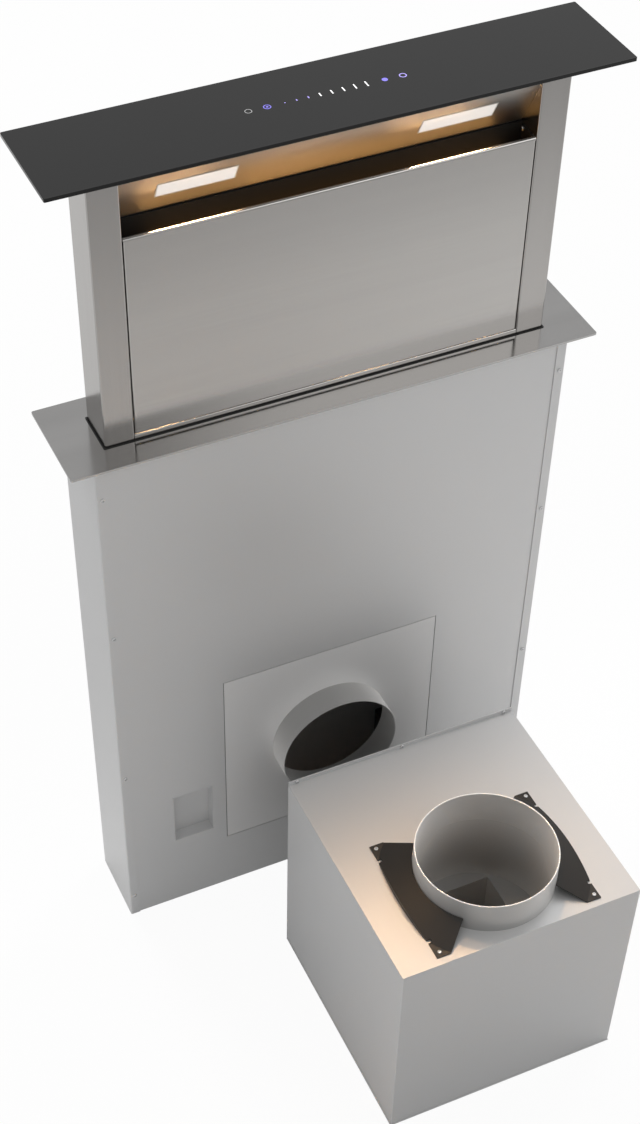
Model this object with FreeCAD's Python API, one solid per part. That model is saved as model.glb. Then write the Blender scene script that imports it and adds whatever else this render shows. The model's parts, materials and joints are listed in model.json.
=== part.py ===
import FreeCAD, Part
import math
import os
from FreeCAD import Vector

# Retractable downdraft vent with a separate blower box, in millimetres.
# The origin is the middle of the housing's underside. +Z is up, -Y is the front.
# The tower is drawn raised, and the blower box stands in front of the housing.

os.makedirs("parts", exist_ok=True)

# ---------------------------------------------------------------- driving dimensions

# Housing that hangs under the worktop
housing_width = 544.0
housing_depth = 96.6
housing_height = 736.8
sheet = 1.0
bend_radius = 0.8
return_width = 12.0
fit_gap = 0.1
gland_inset = 26.0
gland_height = 62.0
screw_edge = 6.4
screw_heights = (36.0, 260.0, 493.0, 692.5)
pan_rim = 15.0
rail_leg = 13.0

# Worktop flange and the wiper seal round the tower
flange_overhang_x = 28.0
flange_overhang_y = 11.5
flange_thickness = 2.4
flange_corner = 2.0
seal_gap = 0.4
seal_wall = 1.1
seal_lip = 0.4
seal_lip_height = 0.6
seal_drop = 4.0

# Tower
tower_side_gap = 21.0
tower_depth = 52.4
tower_rise = 317.0
tower_tail = 103.0
post_width = 32.3
post_corner = 1.6

# Front panel, the air slot above it and the slanted lamp panel
panel_foot_gap = 7.8
slot_sill = 237.6
panel_side_gap = 0.8
panel_seam = 1.3
panel_return = 11.0
panel_lip = 4.5
panel_lift = 6.0
stud_radius = 2.0
stud_head_radius = 3.2
stud_head_thickness = 1.5
stud_setback = 7.0
stud_inset = 16.0
catch_screw_y = 0.5
catch_screw_drop = 5.0
catch_depth = 15.5
catch_drop = 11.0
catch_margin = 3.0
catch_tongue = 9.0
lamp_edge_y = 6.0
lamp_edge_drop = 78.2
lamp_brow_drop = 20.8
lamp_brow_y = 1.6
lamp_sheet = 0.8
lamp_return = 12.0
lamp_offset = 136.7
lamp_length = 82.0
lamp_height = 22.0
lamp_rise = 34.2
bezel_width = 1.2
lens_thickness = 3.0

# Glass top and what it carries
glass_overlap = 0.0
glass_thickness = 4.2
glass_corner = 1.5
glass_bevel = 0.5
carrier_thickness = 1.2
carrier_inset = 1.4
touch_length = 190.0
touch_depth = 34.0
touch_height = 9.0

# Grease filters
filter_height = 196.0
filter_thickness = 9.0
filter_frame = 12.0
filter_gap = 3.0
filter_lift = 8.0
filter_back_gap = 11.0
filter_slot_width = 6.0
filter_slots = 18
rail_wall = 0.8
rail_clearance = 0.5

# Control box inside the housing
control_width = 120.0
control_height = 98.0
control_depth = 34.0
control_lid = 8.0
control_step = 4.0
control_inset = 40.0
control_foot = 24.0
control_corner = 3.0
control_ribs = 6
control_rib = 2.0

# Mains gland on the back cover
gland_body_radius = 8.0
gland_bore_radius = 4.0
gland_hex_radius = 11.0
gland_hex_thickness = 4.0
gland_dome = 9.2
gland_nut_thickness = 3.0
gland_thread = 5.0

# Rack and pinion lift
gear_module = 1.25
pinion_teeth = 20
pressure_angle = math.radians(20.0)
backlash = 0.3
gear_face = 7.0
gear_end_gap = 0.9
rack_back = 10.0
rack_top_gap = 22.0
rack_foot_margin = 10.0
shaft_radius = 4.0
running_gap = 0.05
shaft_above_tail = 38.0
cross_bar_height = 16.0
cross_bar_leg = 8.0
bush_radius = 7.0
bush_collar_radius = 9.0
bush_collar = 1.5
pinion_hub_radius = 8.0
guide_width = 14.5
guide_depth = 15.0
guide_wall = 1.2
guide_gap = 0.3
shoe_length = 32.0
shoe_foot = 2.5
gearbox_width = 40.0
gearbox_height = 40.0
gearbox_depth = 44.0
gearbox_offset = 138.0
gearbox_corner = 4.0
gearbox_boss = 4.0
gearbox_boss_radius = 10.0
gearbox_foot = 4.0
gearbox_foot_reach = 12.0
gearbox_foot_overlap = 6.0
lift_motor_radius = 17.0
lift_motor_length = 54.0
lift_motor_cap = 6.0

# Outlet plate, duct collar and recess on the front cover
plate_width = 274.2
plate_height = 277.5
plate_foot = 89.5
plate_joint = 0.9
backing_overlap = 9.5
duct_radius = 75.0
duct_wall = 1.2
duct_length = 33.0
duct_neck = 3.0
duct_neck_relief = 0.6
duct_height = 229.0
duct_flange = 11.0
recess_width = 52.4
recess_height = 81.6
recess_depth = 16.0
recess_centre_x = -181.4
recess_foot = 114.0
recess_flange = 8.0
recess_corner = 1.5

# Blower box, with its own place in front of the housing
box_width = 291.0
box_depth = 294.0
box_height = 293.8
box_offset_x = 39.2
box_standoff = 113.8
box_foot_lip = 0.8
rear_strip = 5.2
rear_strip_sheet = 1.2
rear_screw_head = 1.5
rear_opening_corner = 8.0
rear_frame_width = 20.0
rear_screw_inset = 10.9
box_duct_radius = 80.0
box_duct_wall = 1.5
box_duct_height = 42.0
box_duct_spigot = 25.0
box_duct_flange = 9.0
box_duct_setback = 91.3
bracket_sheet = 1.5
bracket_rise = 16.0
bracket_reach = 100.5
bracket_bulge = 4.5
bracket_half_length = 83.0
bracket_ear_end = 84.0
bracket_inner_x = 57.0
bracket_fold_radius = 117.0
bracket_notch_y = 60.0
bracket_notch = 4.0
bracket_gap = 0.8

# Blower
blade_depth = 14.0
wheel_width = 104.0
blade_count = 36
blade_sheet = 1.2
blade_entry_angle = 62.0
blade_lean = 9.0
blade_inset = 0.5
wheel_disc = 2.0
wheel_rim = 3.0
scroll_side_gap = 2.8
scroll_width = 120.0
scroll_step = 10.0
scroll_gap = 5.0
scroll_sheet = 1.2
scroll_foot = 6.0
foot_leg = 16.0
foot_rise = 30.0
foot_span = 110.0
capacitor_radius = 17.0
capacitor_length = 62.0
scroll_neck = 12.0
tongue_radius = 5.0
bell_bend = 10.0
bell_flange = 16.0
bell_sheet = 1.5
bell_gap = 3.0
bell_steps = 4
tongue_offset = 12.0
drum_wall = 0.9
fan_motor_radius = 36.0
fan_motor_length = 74.0
cup_gap = 4.0
spider_overlap = 8.0
spider_ring = 7.0
spider_arm = 12.0

# Fasteners
screw_head_radius = 2.5
screw_head_height = 1.6
screw_head_rim = 0.7
screw_head_crown = 1.5
screw_shank_radius = 1.5
screw_hole_radius = 1.7
screw_length = 6.0

# ---------------------------------------------------------------- derived places

housing_side = housing_width / 2
flange_length = housing_width + 2 * flange_overhang_x
flange_depth = housing_depth + 2 * flange_overhang_y
glass_length = flange_length + 2 * glass_overlap
glass_depth = flange_depth + 2 * glass_overlap
tower_width = housing_width - 2 * tower_side_gap
housing_front = -housing_depth / 2
housing_inner_side = housing_side - sheet
cover_front = housing_front + sheet
cover_back = cover_front + sheet
flange_top = housing_height + flange_thickness
tower_side = tower_width / 2
tower_front = -tower_depth / 2
tower_back = tower_depth / 2
carrier_top = flange_top + tower_rise
post_top = carrier_top - carrier_thickness
tower_foot = flange_top - tower_tail
post_inner = tower_side - post_width
panel_foot = flange_top + panel_foot_gap
panel_top = flange_top + slot_sill
lift_travel = tower_rise - seal_lip_height - seal_gap
seal_inner_x = tower_side + seal_gap
seal_inner_y = tower_back + seal_gap
opening_x = seal_inner_x + seal_wall
opening_y = seal_inner_y + seal_wall
pitch_radius = gear_module * pinion_teeth / 2
tooth_pitch = math.pi * gear_module
shaft_z = tower_foot + shaft_above_tail
pinion_end = housing_inner_side - gear_end_gap
pinion_start = pinion_end - gear_face
duct_mouth_y = cover_front - duct_length
box_back = housing_front - box_standoff
box_front = box_back - box_depth
box_left = box_offset_x - box_width / 2
box_right = box_offset_x + box_width / 2
rear_screw_spacing = box_width / 2 - rear_screw_inset
box_duct_y = box_front + box_duct_setback
lamp_edge_z = carrier_top - lamp_edge_drop
lamp_brow_z = carrier_top - lamp_brow_drop
lamp_brow_front = tower_front + lamp_brow_y
scroll_room = box_width / 2 - sheet - scroll_side_gap - scroll_sheet - tongue_offset / 2
wheel_radius = (scroll_room - 2.5 * scroll_step) / 1.5 - scroll_gap
wheel_eye_radius = wheel_radius - blade_depth
spider_radius = wheel_radius - spider_overlap
scroll_reach = wheel_radius + scroll_gap + 3 * scroll_step
wheel_x = box_offset_x - (tongue_offset + scroll_reach) / 2
wheel_z = sheet + scroll_foot + wheel_radius + scroll_gap + 2 * scroll_step + scroll_sheet
scroll_front = box_duct_y - scroll_width / 2
scroll_back = box_duct_y + scroll_width / 2

# ---------------------------------------------------------------- shape helpers


def block(x0, x1, y0, y1, z0, z1):
    """Box between two opposite corners."""
    return Part.makeBox(x1 - x0, y1 - y0, z1 - z0, Vector(x0, y0, z0))


def rod(centre, axis, radius, length):
    """Cylinder that starts at centre and runs along axis."""
    return Part.makeCylinder(radius, length, centre, axis)


def ring(centre, axis, outer, inner, length):
    """Tube that starts at centre and runs along axis."""
    return rod(centre, axis, outer, length).cut(rod(centre, axis, inner, length))


def on_xy(u, v):
    return Vector(u, v, 0)


def on_xz(u, v):
    return Vector(u, 0, v)


def on_yz(u, v):
    return Vector(0, u, v)


def corner_points(before, corner, after, radius):
    """Start, middle and end of the arc that rounds one corner of an outline."""
    to_before = (before - corner).normalize()
    to_after = (after - corner).normalize()
    half_angle = to_before.getAngle(to_after) / 2
    reach = radius / math.tan(half_angle)
    bisector = (to_before + to_after).normalize()
    middle = corner + bisector * (radius / math.sin(half_angle) - radius)
    return corner + to_before * reach, middle, corner + to_after * reach


def rounded_wire(corners, radii):
    """Closed wire through the corners, each rounded to its own radius."""
    count = len(corners)
    edges = []
    stations = []
    for index, corner in enumerate(corners):
        radius = radii[index]
        if radius > 0:
            stations.append(corner_points(corners[index - 1], corner, corners[(index + 1) % count], radius))
        else:
            stations.append((corner, corner, corner))
    for index, (start, middle, end) in enumerate(stations):
        if radii[index] > 0:
            edges.append(Part.Arc(start, middle, end).toShape())
        next_start = stations[(index + 1) % count][0]
        if (next_start - end).Length > 1e-6:
            edges.append(Part.LineSegment(end, next_start).toShape())
    return Part.Wire(edges)


def slab(corners, radii, start, along):
    """Solid of a rounded outline, moved to start and extruded along a vector."""
    solid = Part.Face(rounded_wire(corners, radii)).extrude(along)
    solid.translate(start)
    return solid


def folded_outline(path, thickness, inner_radius):
    """Corners and radii of a bent strip: the path is its right-hand face, looking along it."""
    offset = []
    radii_path = []
    radii_offset = []
    for index, (u, v) in enumerate(path):
        normals = []
        if index > 0:
            normals.append(left_normal(path[index - 1], path[index]))
        if index < len(path) - 1:
            normals.append(left_normal(path[index], path[index + 1]))
        first, last = normals[0], normals[-1]
        spread = 1 + first[0] * last[0] + first[1] * last[1]
        offset.append((u + thickness * (first[0] + last[0]) / spread,
                       v + thickness * (first[1] + last[1]) / spread))
        turn = first[0] * last[1] - first[1] * last[0]
        if abs(turn) < 1e-9:
            radii_path.append(0)
            radii_offset.append(0)
        elif turn > 0:
            radii_path.append(inner_radius + thickness)
            radii_offset.append(inner_radius)
        else:
            radii_path.append(inner_radius)
            radii_offset.append(inner_radius + thickness)
    return path + offset[::-1], radii_path + radii_offset[::-1]


def left_normal(start, end):
    """Unit vector to the left of the way from start to end."""
    run = (end[0] - start[0], end[1] - start[1])
    length = math.hypot(run[0], run[1])
    return (-run[1] / length, run[0] / length)


def folded_sheet(path, thickness, inner_radius, plane, start, along):
    """Bent sheet-metal profile, extruded along a vector."""
    corners, radii = folded_outline(path, thickness, inner_radius)
    return slab([plane(u, v) for u, v in corners], radii, start, along)


def rounded_block(x0, x1, y0, y1, z0, z1, radius):
    """Upright block with its four vertical edges rounded."""
    corners = [on_xy(x0, y0), on_xy(x1, y0), on_xy(x1, y1), on_xy(x0, y1)]
    return slab(corners, [radius] * 4, Vector(0, 0, z0), Vector(0, 0, z1 - z0))


def turned(profile, centre, axis):
    """Solid of revolution: profile points are (distance along axis, radius)."""
    side = Vector(0, 0, 1) if abs(axis.z) < 0.5 else Vector(1, 0, 0)
    points = [centre + axis * along + side * radius for along, radius in profile]
    face = Part.Face(Part.makePolygon(points + [points[0]]))
    return face.revolve(centre, axis, 360)


def mirrored(solid):
    """Copy of a solid on the other side of the middle plane."""
    return solid.mirror(Vector(0, 0, 0), Vector(1, 0, 0))


def pan_screw(head_seat, inward):
    """Pan-head screw: its head stands off the seat, its shank runs inward."""
    profile = [(-screw_head_height, 0), (-screw_head_height, screw_head_crown),
               (-screw_head_rim, screw_head_radius), (0, screw_head_radius), (0, screw_shank_radius),
               (screw_length, screw_shank_radius), (screw_length, 0)]
    return turned(profile, head_seat, inward)


def group(solids):
    """Several separate solids in one sub-part."""
    return Part.makeCompound(solids)


def save(name, shape):
    shape.exportStep("parts/" + name + ".step")


# ---------------------------------------------------------------- housing


def cover_screw_places():
    """Middle of each screw hole in the side panels, as (x, z)."""
    edge = housing_side - screw_edge
    return [(side * edge, height) for side in (-1, 1) for height in screw_heights]


def drill_cover_holes(solid):
    """Screw holes through both the front and the back of a housing piece."""
    for x, z in cover_screw_places():
        drill = rod(Vector(x, housing_front - sheet, z), Vector(0, 1, 0), screw_hole_radius,
                    housing_depth + 2 * sheet)
        solid = solid.cut(drill)
    return solid


def side_panel():
    """Right side panel: a channel whose two returns lie over the front and back covers."""
    inner = housing_side - return_width
    path = [(inner, housing_front), (housing_side, housing_front),
            (housing_side, -housing_front), (inner, -housing_front)]
    channel = folded_sheet(path, sheet, bend_radius, on_xy, Vector(0, 0, 0), Vector(0, 0, housing_height))
    return drill_cover_holes(channel)


def cover_sheet(front):
    """Flat cover between the two side panels."""
    half = housing_inner_side - bend_radius
    return drill_cover_holes(block(-half, half, front, front + sheet, 0, housing_height))


def plate_box(margin, y0, y1):
    """Block with the outline of the outlet plate, grown by a margin."""
    half = plate_width / 2 + margin
    return block(-half, half, y0, y1, plate_foot - margin, plate_foot + plate_height + margin)


def recess_box(margin, y0, y1):
    """Block with the outline of the connection recess, grown by a margin."""
    half = recess_width / 2 + margin
    return block(recess_centre_x - half, recess_centre_x + half, y0, y1,
                 recess_foot - margin, recess_foot + recess_height + margin)


def front_cover():
    cover = cover_sheet(cover_front)
    cover = cover.cut(plate_box(plate_joint, cover_front - 1, cover_back + 1))
    return cover.cut(recess_box(fit_gap, cover_front - 1, cover_back + 1))


def gland_place():
    """Middle of the mains gland on the outer face of the back cover."""
    return Vector(housing_side - gland_inset, -cover_front, gland_height)


def back_panel():
    panel = cover_sheet(-cover_back)
    hole_start = gland_place() - Vector(0, 2 * sheet, 0)
    return panel.cut(rod(hole_start, Vector(0, 1, 0), gland_body_radius + fit_gap, 4 * sheet))


def mains_gland():
    """Cable gland: body through the back cover, a hexagon outside and a nut inside."""
    place = gland_place()
    inner_end = -sheet - gland_thread
    crown = gland_body_radius + 0.4
    body = turned([(inner_end, gland_bore_radius), (inner_end, gland_body_radius),
                   (fit_gap, gland_body_radius), (fit_gap, crown), (gland_dome - 2, crown),
                   (gland_dome, crown - 2), (gland_dome, gland_bore_radius)], place, Vector(0, 1, 0))
    flats = hexagon(gland_hex_radius, place + Vector(0, fit_gap, 0), gland_hex_thickness)
    nut = hexagon(gland_hex_radius, place - Vector(0, sheet + fit_gap + gland_nut_thickness, 0),
                  gland_nut_thickness)
    bore = rod(place + Vector(0, inner_end - 1, 0), Vector(0, 1, 0), gland_bore_radius,
               gland_thread + gland_dome + 4 * sheet)
    return body.multiFuse([flats, nut]).cut(bore).removeSplitter()


def hexagon(radius, centre, thickness):
    """Hexagonal block in the XZ plane, extruded along +Y."""
    corners = []
    for index in range(7):
        turn = math.radians(60 * index)
        corners.append(centre + Vector(radius * math.cos(turn), 0, radius * math.sin(turn)))
    return Part.Face(Part.makePolygon(corners)).extrude(Vector(0, thickness, 0))


def bottom_pan():
    """Tray between the covers and the side panels, with its rim folded up."""
    half_x = housing_inner_side - fit_gap
    half_y = -cover_back - fit_gap
    outer = block(-half_x, half_x, -half_y, half_y, 0, pan_rim)
    hollow = block(-half_x + sheet, half_x - sheet, -half_y + sheet, half_y - sheet, sheet, pan_rim + 1)
    return outer.cut(hollow)


def top_rail():
    """Front angle under the flange: one leg on the cover, one under the worktop flange."""
    half = housing_inner_side - fit_gap
    path = [(cover_back + fit_gap, housing_height - rail_leg), (cover_back + fit_gap, housing_height),
            (cover_back + fit_gap + rail_leg, housing_height)]
    corners, radii = folded_outline(path[::-1], sheet, bend_radius)
    return slab([on_yz(u, v) for u, v in corners], radii, Vector(-half, 0, 0), Vector(2 * half, 0, 0))


def worktop_flange():
    half_x = flange_length / 2
    half_y = flange_depth / 2
    plate = rounded_block(-half_x, half_x, -half_y, half_y, housing_height, flange_top, flange_corner)
    opening = rounded_block(-opening_x, opening_x, -opening_y, opening_y,
                            housing_height - 1, flange_top + 1, post_corner)
    return plate.cut(opening)


def wiper_seal():
    """Rubber frame in the flange opening, with a thin lip over the flange."""
    low = housing_height - seal_drop
    wall = rounded_block(-opening_x, opening_x, -opening_y, opening_y, low, flange_top, post_corner)
    lip = rounded_block(-opening_x - seal_lip, opening_x + seal_lip, -opening_y - seal_lip,
                        opening_y + seal_lip, flange_top, flange_top + seal_lip_height, post_corner)
    inside = rounded_block(-seal_inner_x, seal_inner_x, -seal_inner_y, seal_inner_y,
                           low - 1, flange_top + 2, post_corner)
    return wall.fuse(lip).cut(inside).removeSplitter()


def outlet_plate():
    hole = rod(Vector(0, cover_front - 1, duct_height), Vector(0, 1, 0), duct_radius + fit_gap, 3)
    return plate_box(0, cover_front, cover_back).cut(hole)


def plate_backing_frame():
    """Frame behind the cover that bridges the joint round the outlet plate."""
    frame = plate_box(backing_overlap, cover_back, cover_back + sheet)
    return frame.cut(plate_box(-backing_overlap, cover_back - 1, cover_back + 2 * sheet))


def duct_collar():
    """Collar for the round duct, with its flange behind the outlet plate."""
    inner = duct_radius - duct_wall
    neck = duct_radius - duct_neck_relief
    seat = cover_back - duct_mouth_y
    spigot = duct_length - duct_neck
    return turned([(0, inner), (0, duct_radius), (spigot, duct_radius), (spigot, neck), (seat, neck),
                   (seat, duct_radius + duct_flange), (seat + duct_wall, duct_radius + duct_flange),
                   (seat + duct_wall, inner)],
                  Vector(0, duct_mouth_y, duct_height), Vector(0, 1, 0))


def connection_recess():
    """Pressed tray behind the front cover, open to the front."""
    back = cover_front + recess_depth
    tray = recess_box(0, cover_front, back)
    upright = [edge for edge in tray.Edges if abs(edge.tangentAt(edge.FirstParameter).y) > 0.9]
    tray = tray.makeFillet(recess_corner, upright)
    rim = recess_box(recess_flange, cover_back, cover_back + sheet)
    hollow = recess_box(-sheet, cover_front - 1, back - sheet)
    return tray.fuse(rim).cut(hollow).removeSplitter()


def cover_screws(seat_y, inward):
    return [pan_screw(Vector(x, seat_y, z), Vector(0, inward, 0)) for x, z in cover_screw_places()]


def control_box():
    """Moulded box of the lift and fan controls, with a stepped lid, on the back cover."""
    back = -cover_back
    lid_seat = back - control_depth
    lid_face = lid_seat - control_lid
    right = housing_side - control_inset
    left = right - control_width
    top = control_foot + control_height
    base = rounded_block(left, right, lid_seat, back, control_foot, top, control_corner)
    lid = rounded_block(left + control_step, right - control_step, lid_face, lid_seat,
                        control_foot + control_step, top - control_step, control_corner)
    ribs = []
    pitch = control_width / (control_ribs + 1)
    for index in range(1, control_ribs + 1):
        x = left + index * pitch
        ribs.append(block(x - control_rib / 2, x + control_rib / 2, lid_face - control_rib, lid_face,
                          control_foot + 3 * control_step, top - 3 * control_step))
    return base.multiFuse([lid] + ribs).removeSplitter()


# ---------------------------------------------------------------- lift


def involute(angle):
    return math.tan(angle) - angle


def pinion_outline():
    """Spur-gear outline in the YZ plane: radial root, involute flank as one arc, flat tip."""
    base = pitch_radius * math.cos(pressure_angle)
    root = pitch_radius - 1.25 * gear_module
    tip = pitch_radius + gear_module
    tooth = tooth_pitch / 2 - backlash / 2
    at_base = tooth / (2 * pitch_radius) + involute(pressure_angle)

    def flank(radius, centre, side):
        lean = at_base - involute(math.acos(min(1.0, base / max(radius, base))))
        angle = centre + side * lean
        return Vector(0, radius * math.cos(angle), radius * math.sin(angle))

    edges = []
    step = 2 * math.pi / pinion_teeth
    middle = (base + tip) / 2
    for index in range(pinion_teeth):
        centre = index * step
        feet = [flank(root, centre, -1), flank(base, centre, -1)]
        heads = [flank(tip, centre, -1), flank(tip, centre, 1)]
        far_feet = [flank(base, centre, 1), flank(root, centre, 1)]
        edges.append(Part.LineSegment(feet[0], feet[1]).toShape())
        edges.append(Part.Arc(feet[1], flank(middle, centre, -1), heads[0]).toShape())
        edges.append(Part.LineSegment(heads[0], heads[1]).toShape())
        edges.append(Part.Arc(heads[1], flank(middle, centre, 1), far_feet[0]).toShape())
        edges.append(Part.LineSegment(far_feet[0], far_feet[1]).toShape())
        edges.append(Part.LineSegment(far_feet[1], flank(root, centre + step, -1)).toShape())
    return Part.Wire(edges)


def pinion():
    """Right pinion, with its hub on the tower side, bored for the cross shaft."""
    gear = Part.Face(pinion_outline()).extrude(Vector(gear_face, 0, 0))
    gear.translate(Vector(pinion_start, 0, shaft_z))
    hub_start = tower_side + bush_collar + fit_gap
    hub = rod(Vector(hub_start, 0, shaft_z), Vector(1, 0, 0), pinion_hub_radius, pinion_start - hub_start)
    bore = rod(Vector(hub_start - 1, 0, shaft_z), Vector(1, 0, 0), shaft_radius, gear_face + 40)
    return gear.fuse(hub).cut(bore)


def cross_shaft():
    """Shaft through the tower that turns both pinions together."""
    end = pinion_end
    return rod(Vector(-end, 0, shaft_z), Vector(1, 0, 0), shaft_radius, 2 * end)


def rack():
    """Right rack: teeth towards the pinion, back and side on the side panel."""
    low = shaft_z - lift_travel - pitch_radius - rack_foot_margin
    high = housing_height - rack_top_gap
    tip = pitch_radius - gear_module
    root = pitch_radius + 1.25 * gear_module
    tooth = tooth_pitch / 2 - backlash / 2
    tip_half = tooth / 2 - gear_module * math.tan(pressure_angle)
    root_half = tooth / 2 + 1.25 * gear_module * math.tan(pressure_angle)
    points = [on_yz(root + rack_back, low), on_yz(root, low)]
    first = math.ceil((low - shaft_z) / tooth_pitch)
    last = math.floor((high - shaft_z) / tooth_pitch) - 1
    for index in range(first, last + 1):
        centre = shaft_z + (index + 0.5) * tooth_pitch
        points += [on_yz(root, centre - root_half), on_yz(tip, centre - tip_half),
                   on_yz(tip, centre + tip_half), on_yz(root, centre + root_half)]
    points += [on_yz(root, high), on_yz(root + rack_back, high)]
    face = Part.Face(Part.makePolygon(points + [points[0]]))
    bar = face.extrude(Vector(gear_face + 1, 0, 0))
    bar.translate(Vector(housing_inner_side - gear_face - 1, 0, 0))
    return bar


def guide_span():
    """Front and back of the guide rail, clear of the pinion in front."""
    back = -(pitch_radius + gear_module + 2.2)
    return back - guide_width, back


def guide_rail():
    """Right guide rail: a channel that opens towards the tower."""
    front, back = guide_span()
    low = tower_foot - lift_travel
    path = [(housing_inner_side - guide_depth, back), (housing_inner_side, back),
            (housing_inner_side, front), (housing_inner_side - guide_depth, front)]
    corners, radii = folded_outline(path[::-1], guide_wall, bend_radius)
    height = housing_height - rail_leg - low
    return slab([on_xy(u, v) for u, v in corners], radii, Vector(0, 0, low), Vector(0, 0, height))


def guide_shoe(low):
    """Right sliding shoe: a foot on the post and a tongue in the guide rail."""
    front, back = guide_span()
    inner_front = front + guide_wall + guide_gap
    inner_back = back - guide_wall - guide_gap
    foot = block(tower_side, tower_side + shoe_foot, tower_front, inner_back, low, low + shoe_length)
    tongue = block(tower_side + shoe_foot, housing_inner_side - guide_wall - guide_gap,
                   inner_front, inner_back, low, low + shoe_length)
    lead_ins = [edge for edge in tongue.Edges
                if abs(edge.tangentAt(edge.FirstParameter).x) > 0.9]
    return foot.fuse(tongue.makeChamfer(1.5, lead_ins)).removeSplitter()


def shaft_bush(outer_x, outward):
    """Flanged bush in one wall of a post; its bore runs on the cross shaft."""
    bore = shaft_radius + running_gap
    body = ring(Vector(outer_x - outward * 5, 0, shaft_z), Vector(outward, 0, 0), bush_radius, bore, 5)
    collar = ring(Vector(outer_x, 0, shaft_z), Vector(outward, 0, 0), bush_collar_radius, bore, bush_collar)
    return body.fuse(collar).removeSplitter()


def lift_gearmotor():
    """Worm gearbox on the cross shaft, with its motor standing on top."""
    half_depth = gearbox_depth / 2
    left = gearbox_offset - gearbox_width / 2
    right = gearbox_offset + gearbox_width / 2
    high = shaft_z + gearbox_height / 2
    gearbox = rounded_block(left, right, -half_depth, half_depth, shaft_z - gearbox_height / 2, high,
                            gearbox_corner)
    boss = rod(Vector(left - gearbox_boss, 0, shaft_z), Vector(1, 0, 0), gearbox_boss_radius,
               gearbox_width + 2 * gearbox_boss)
    neck = lift_motor_length - lift_motor_cap
    can = turned([(0, 0), (0, lift_motor_radius), (neck, lift_motor_radius),
                  (neck, lift_motor_radius - 3), (lift_motor_length, lift_motor_radius - 5),
                  (lift_motor_length, 0)], Vector(gearbox_offset, 0, high), Vector(0, 0, 1))
    seat = tower_foot + cross_bar_height
    inner = half_depth - gearbox_foot_overlap
    outer = tower_back - sheet
    feet = []
    for low_y, high_y in ((-outer, -inner), (inner, outer)):
        feet.append(block(left - gearbox_foot_reach, right + gearbox_foot_reach, low_y, high_y,
                          seat, seat + gearbox_foot))
    bore = rod(Vector(left - 2 * gearbox_boss, 0, shaft_z), Vector(1, 0, 0),
               shaft_radius + running_gap, gearbox_width + 4 * gearbox_boss)
    return gearbox.multiFuse([boss, can] + feet).cut(bore).removeSplitter()


# ---------------------------------------------------------------- tower


def post():
    """Right post: closed rectangular tube, bored for the cross shaft."""
    outer = rounded_block(post_inner, tower_side, tower_front, tower_back, tower_foot, post_top, post_corner)
    inner = rounded_block(post_inner + sheet, tower_side - sheet, tower_front + sheet, tower_back - sheet,
                          tower_foot - 1, post_top + 1, post_corner - sheet)
    bore = rod(Vector(post_inner - 1, 0, shaft_z), Vector(1, 0, 0), bush_radius, post_width + 2)
    y, z = catch_place()
    screw_hole = rod(Vector(post_inner - 1, y, z), Vector(1, 0, 0), screw_hole_radius, 3)
    return outer.cut(inner).cut(bore).cut(screw_hole)


def tower_back_panel():
    return block(-post_inner, post_inner, tower_back - sheet, tower_back, tower_foot, post_top)


def front_apron():
    """Fixed sheet below the front panel, with its top edge folded in."""
    top = panel_foot - panel_seam
    path = [(tower_front, tower_foot), (tower_front, top), (tower_front + 10, top)]
    corners, radii = folded_outline(path[::-1], sheet, bend_radius)
    return slab([on_yz(u, v) for u, v in corners], radii, Vector(-post_inner, 0, 0),
                Vector(2 * post_inner, 0, 0))


def lower_cross_bars():
    """Channels across the foot of the tower, front and back, that leave the air way open."""
    front = tower_front + sheet
    top = tower_foot + cross_bar_height
    path = [(front + cross_bar_leg, top), (front, top), (front, tower_foot),
            (front + cross_bar_leg, tower_foot)]
    corners, radii = folded_outline(path, sheet, bend_radius)
    bar = slab([on_yz(u, v) for u, v in corners], radii, Vector(-post_inner, 0, 0),
               Vector(2 * post_inner, 0, 0))
    return group([bar, bar.mirror(Vector(0, 0, 0), Vector(0, 1, 0))])


def stud_places():
    """Middle of each panel stud, as (y, z)."""
    y = tower_front + sheet + stud_setback
    return [(y, panel_foot + stud_inset), (y, panel_top - 2 * stud_inset)]


def front_panel():
    """Front panel: folded sides with L-shaped hanging slots, and a lip rolled in along its top."""
    half = post_inner - panel_side_gap
    side_path = [(-half, tower_front + panel_return), (-half, tower_front), (half, tower_front),
                 (half, tower_front + panel_return)]
    corners, radii = folded_outline(side_path, sheet, bend_radius)
    body = slab([on_xy(u, v) for u, v in corners], radii, Vector(0, 0, panel_foot),
                Vector(0, 0, panel_top - 4 * sheet - panel_foot))
    lip_path = [(tower_front, panel_top - 4 * sheet), (tower_front, panel_top),
                (tower_front + panel_lip, panel_top - 1.2)]
    corners, radii = folded_outline(lip_path[::-1], sheet, 2 * bend_radius)
    lip = slab([on_yz(u, v) for u, v in corners], radii, Vector(-half, 0, 0), Vector(2 * half, 0, 0))
    panel = body.fuse(lip)
    slot = stud_radius + 0.3
    for y, z in stud_places():
        upright = block(-half - 1, half + 1, y - slot, y + slot, z - slot - panel_lift, z + slot)
        way_in = block(-half - 1, half + 1, y - slot, tower_front + panel_return + 1,
                       z - slot - panel_lift, z + slot - panel_lift)
        sheet_only = block(-half + 2 * sheet, half - 2 * sheet, tower_front, 0, panel_foot, panel_top)
        panel = panel.cut(upright.fuse(way_in).cut(sheet_only))
    return panel.removeSplitter()


def panel_stud(y, z):
    """Right shoulder stud on the post: the slot of the front panel hangs on its shank."""
    inner_face = post_inner - panel_side_gap - sheet
    shank = rod(Vector(inner_face - 0.5, y, z), Vector(1, 0, 0), stud_radius, post_inner - inner_face + 0.5)
    head = rod(Vector(inner_face - 0.5 - stud_head_thickness, y, z), Vector(1, 0, 0),
               stud_head_radius, stud_head_thickness)
    return shank.fuse(head).removeSplitter()


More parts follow.
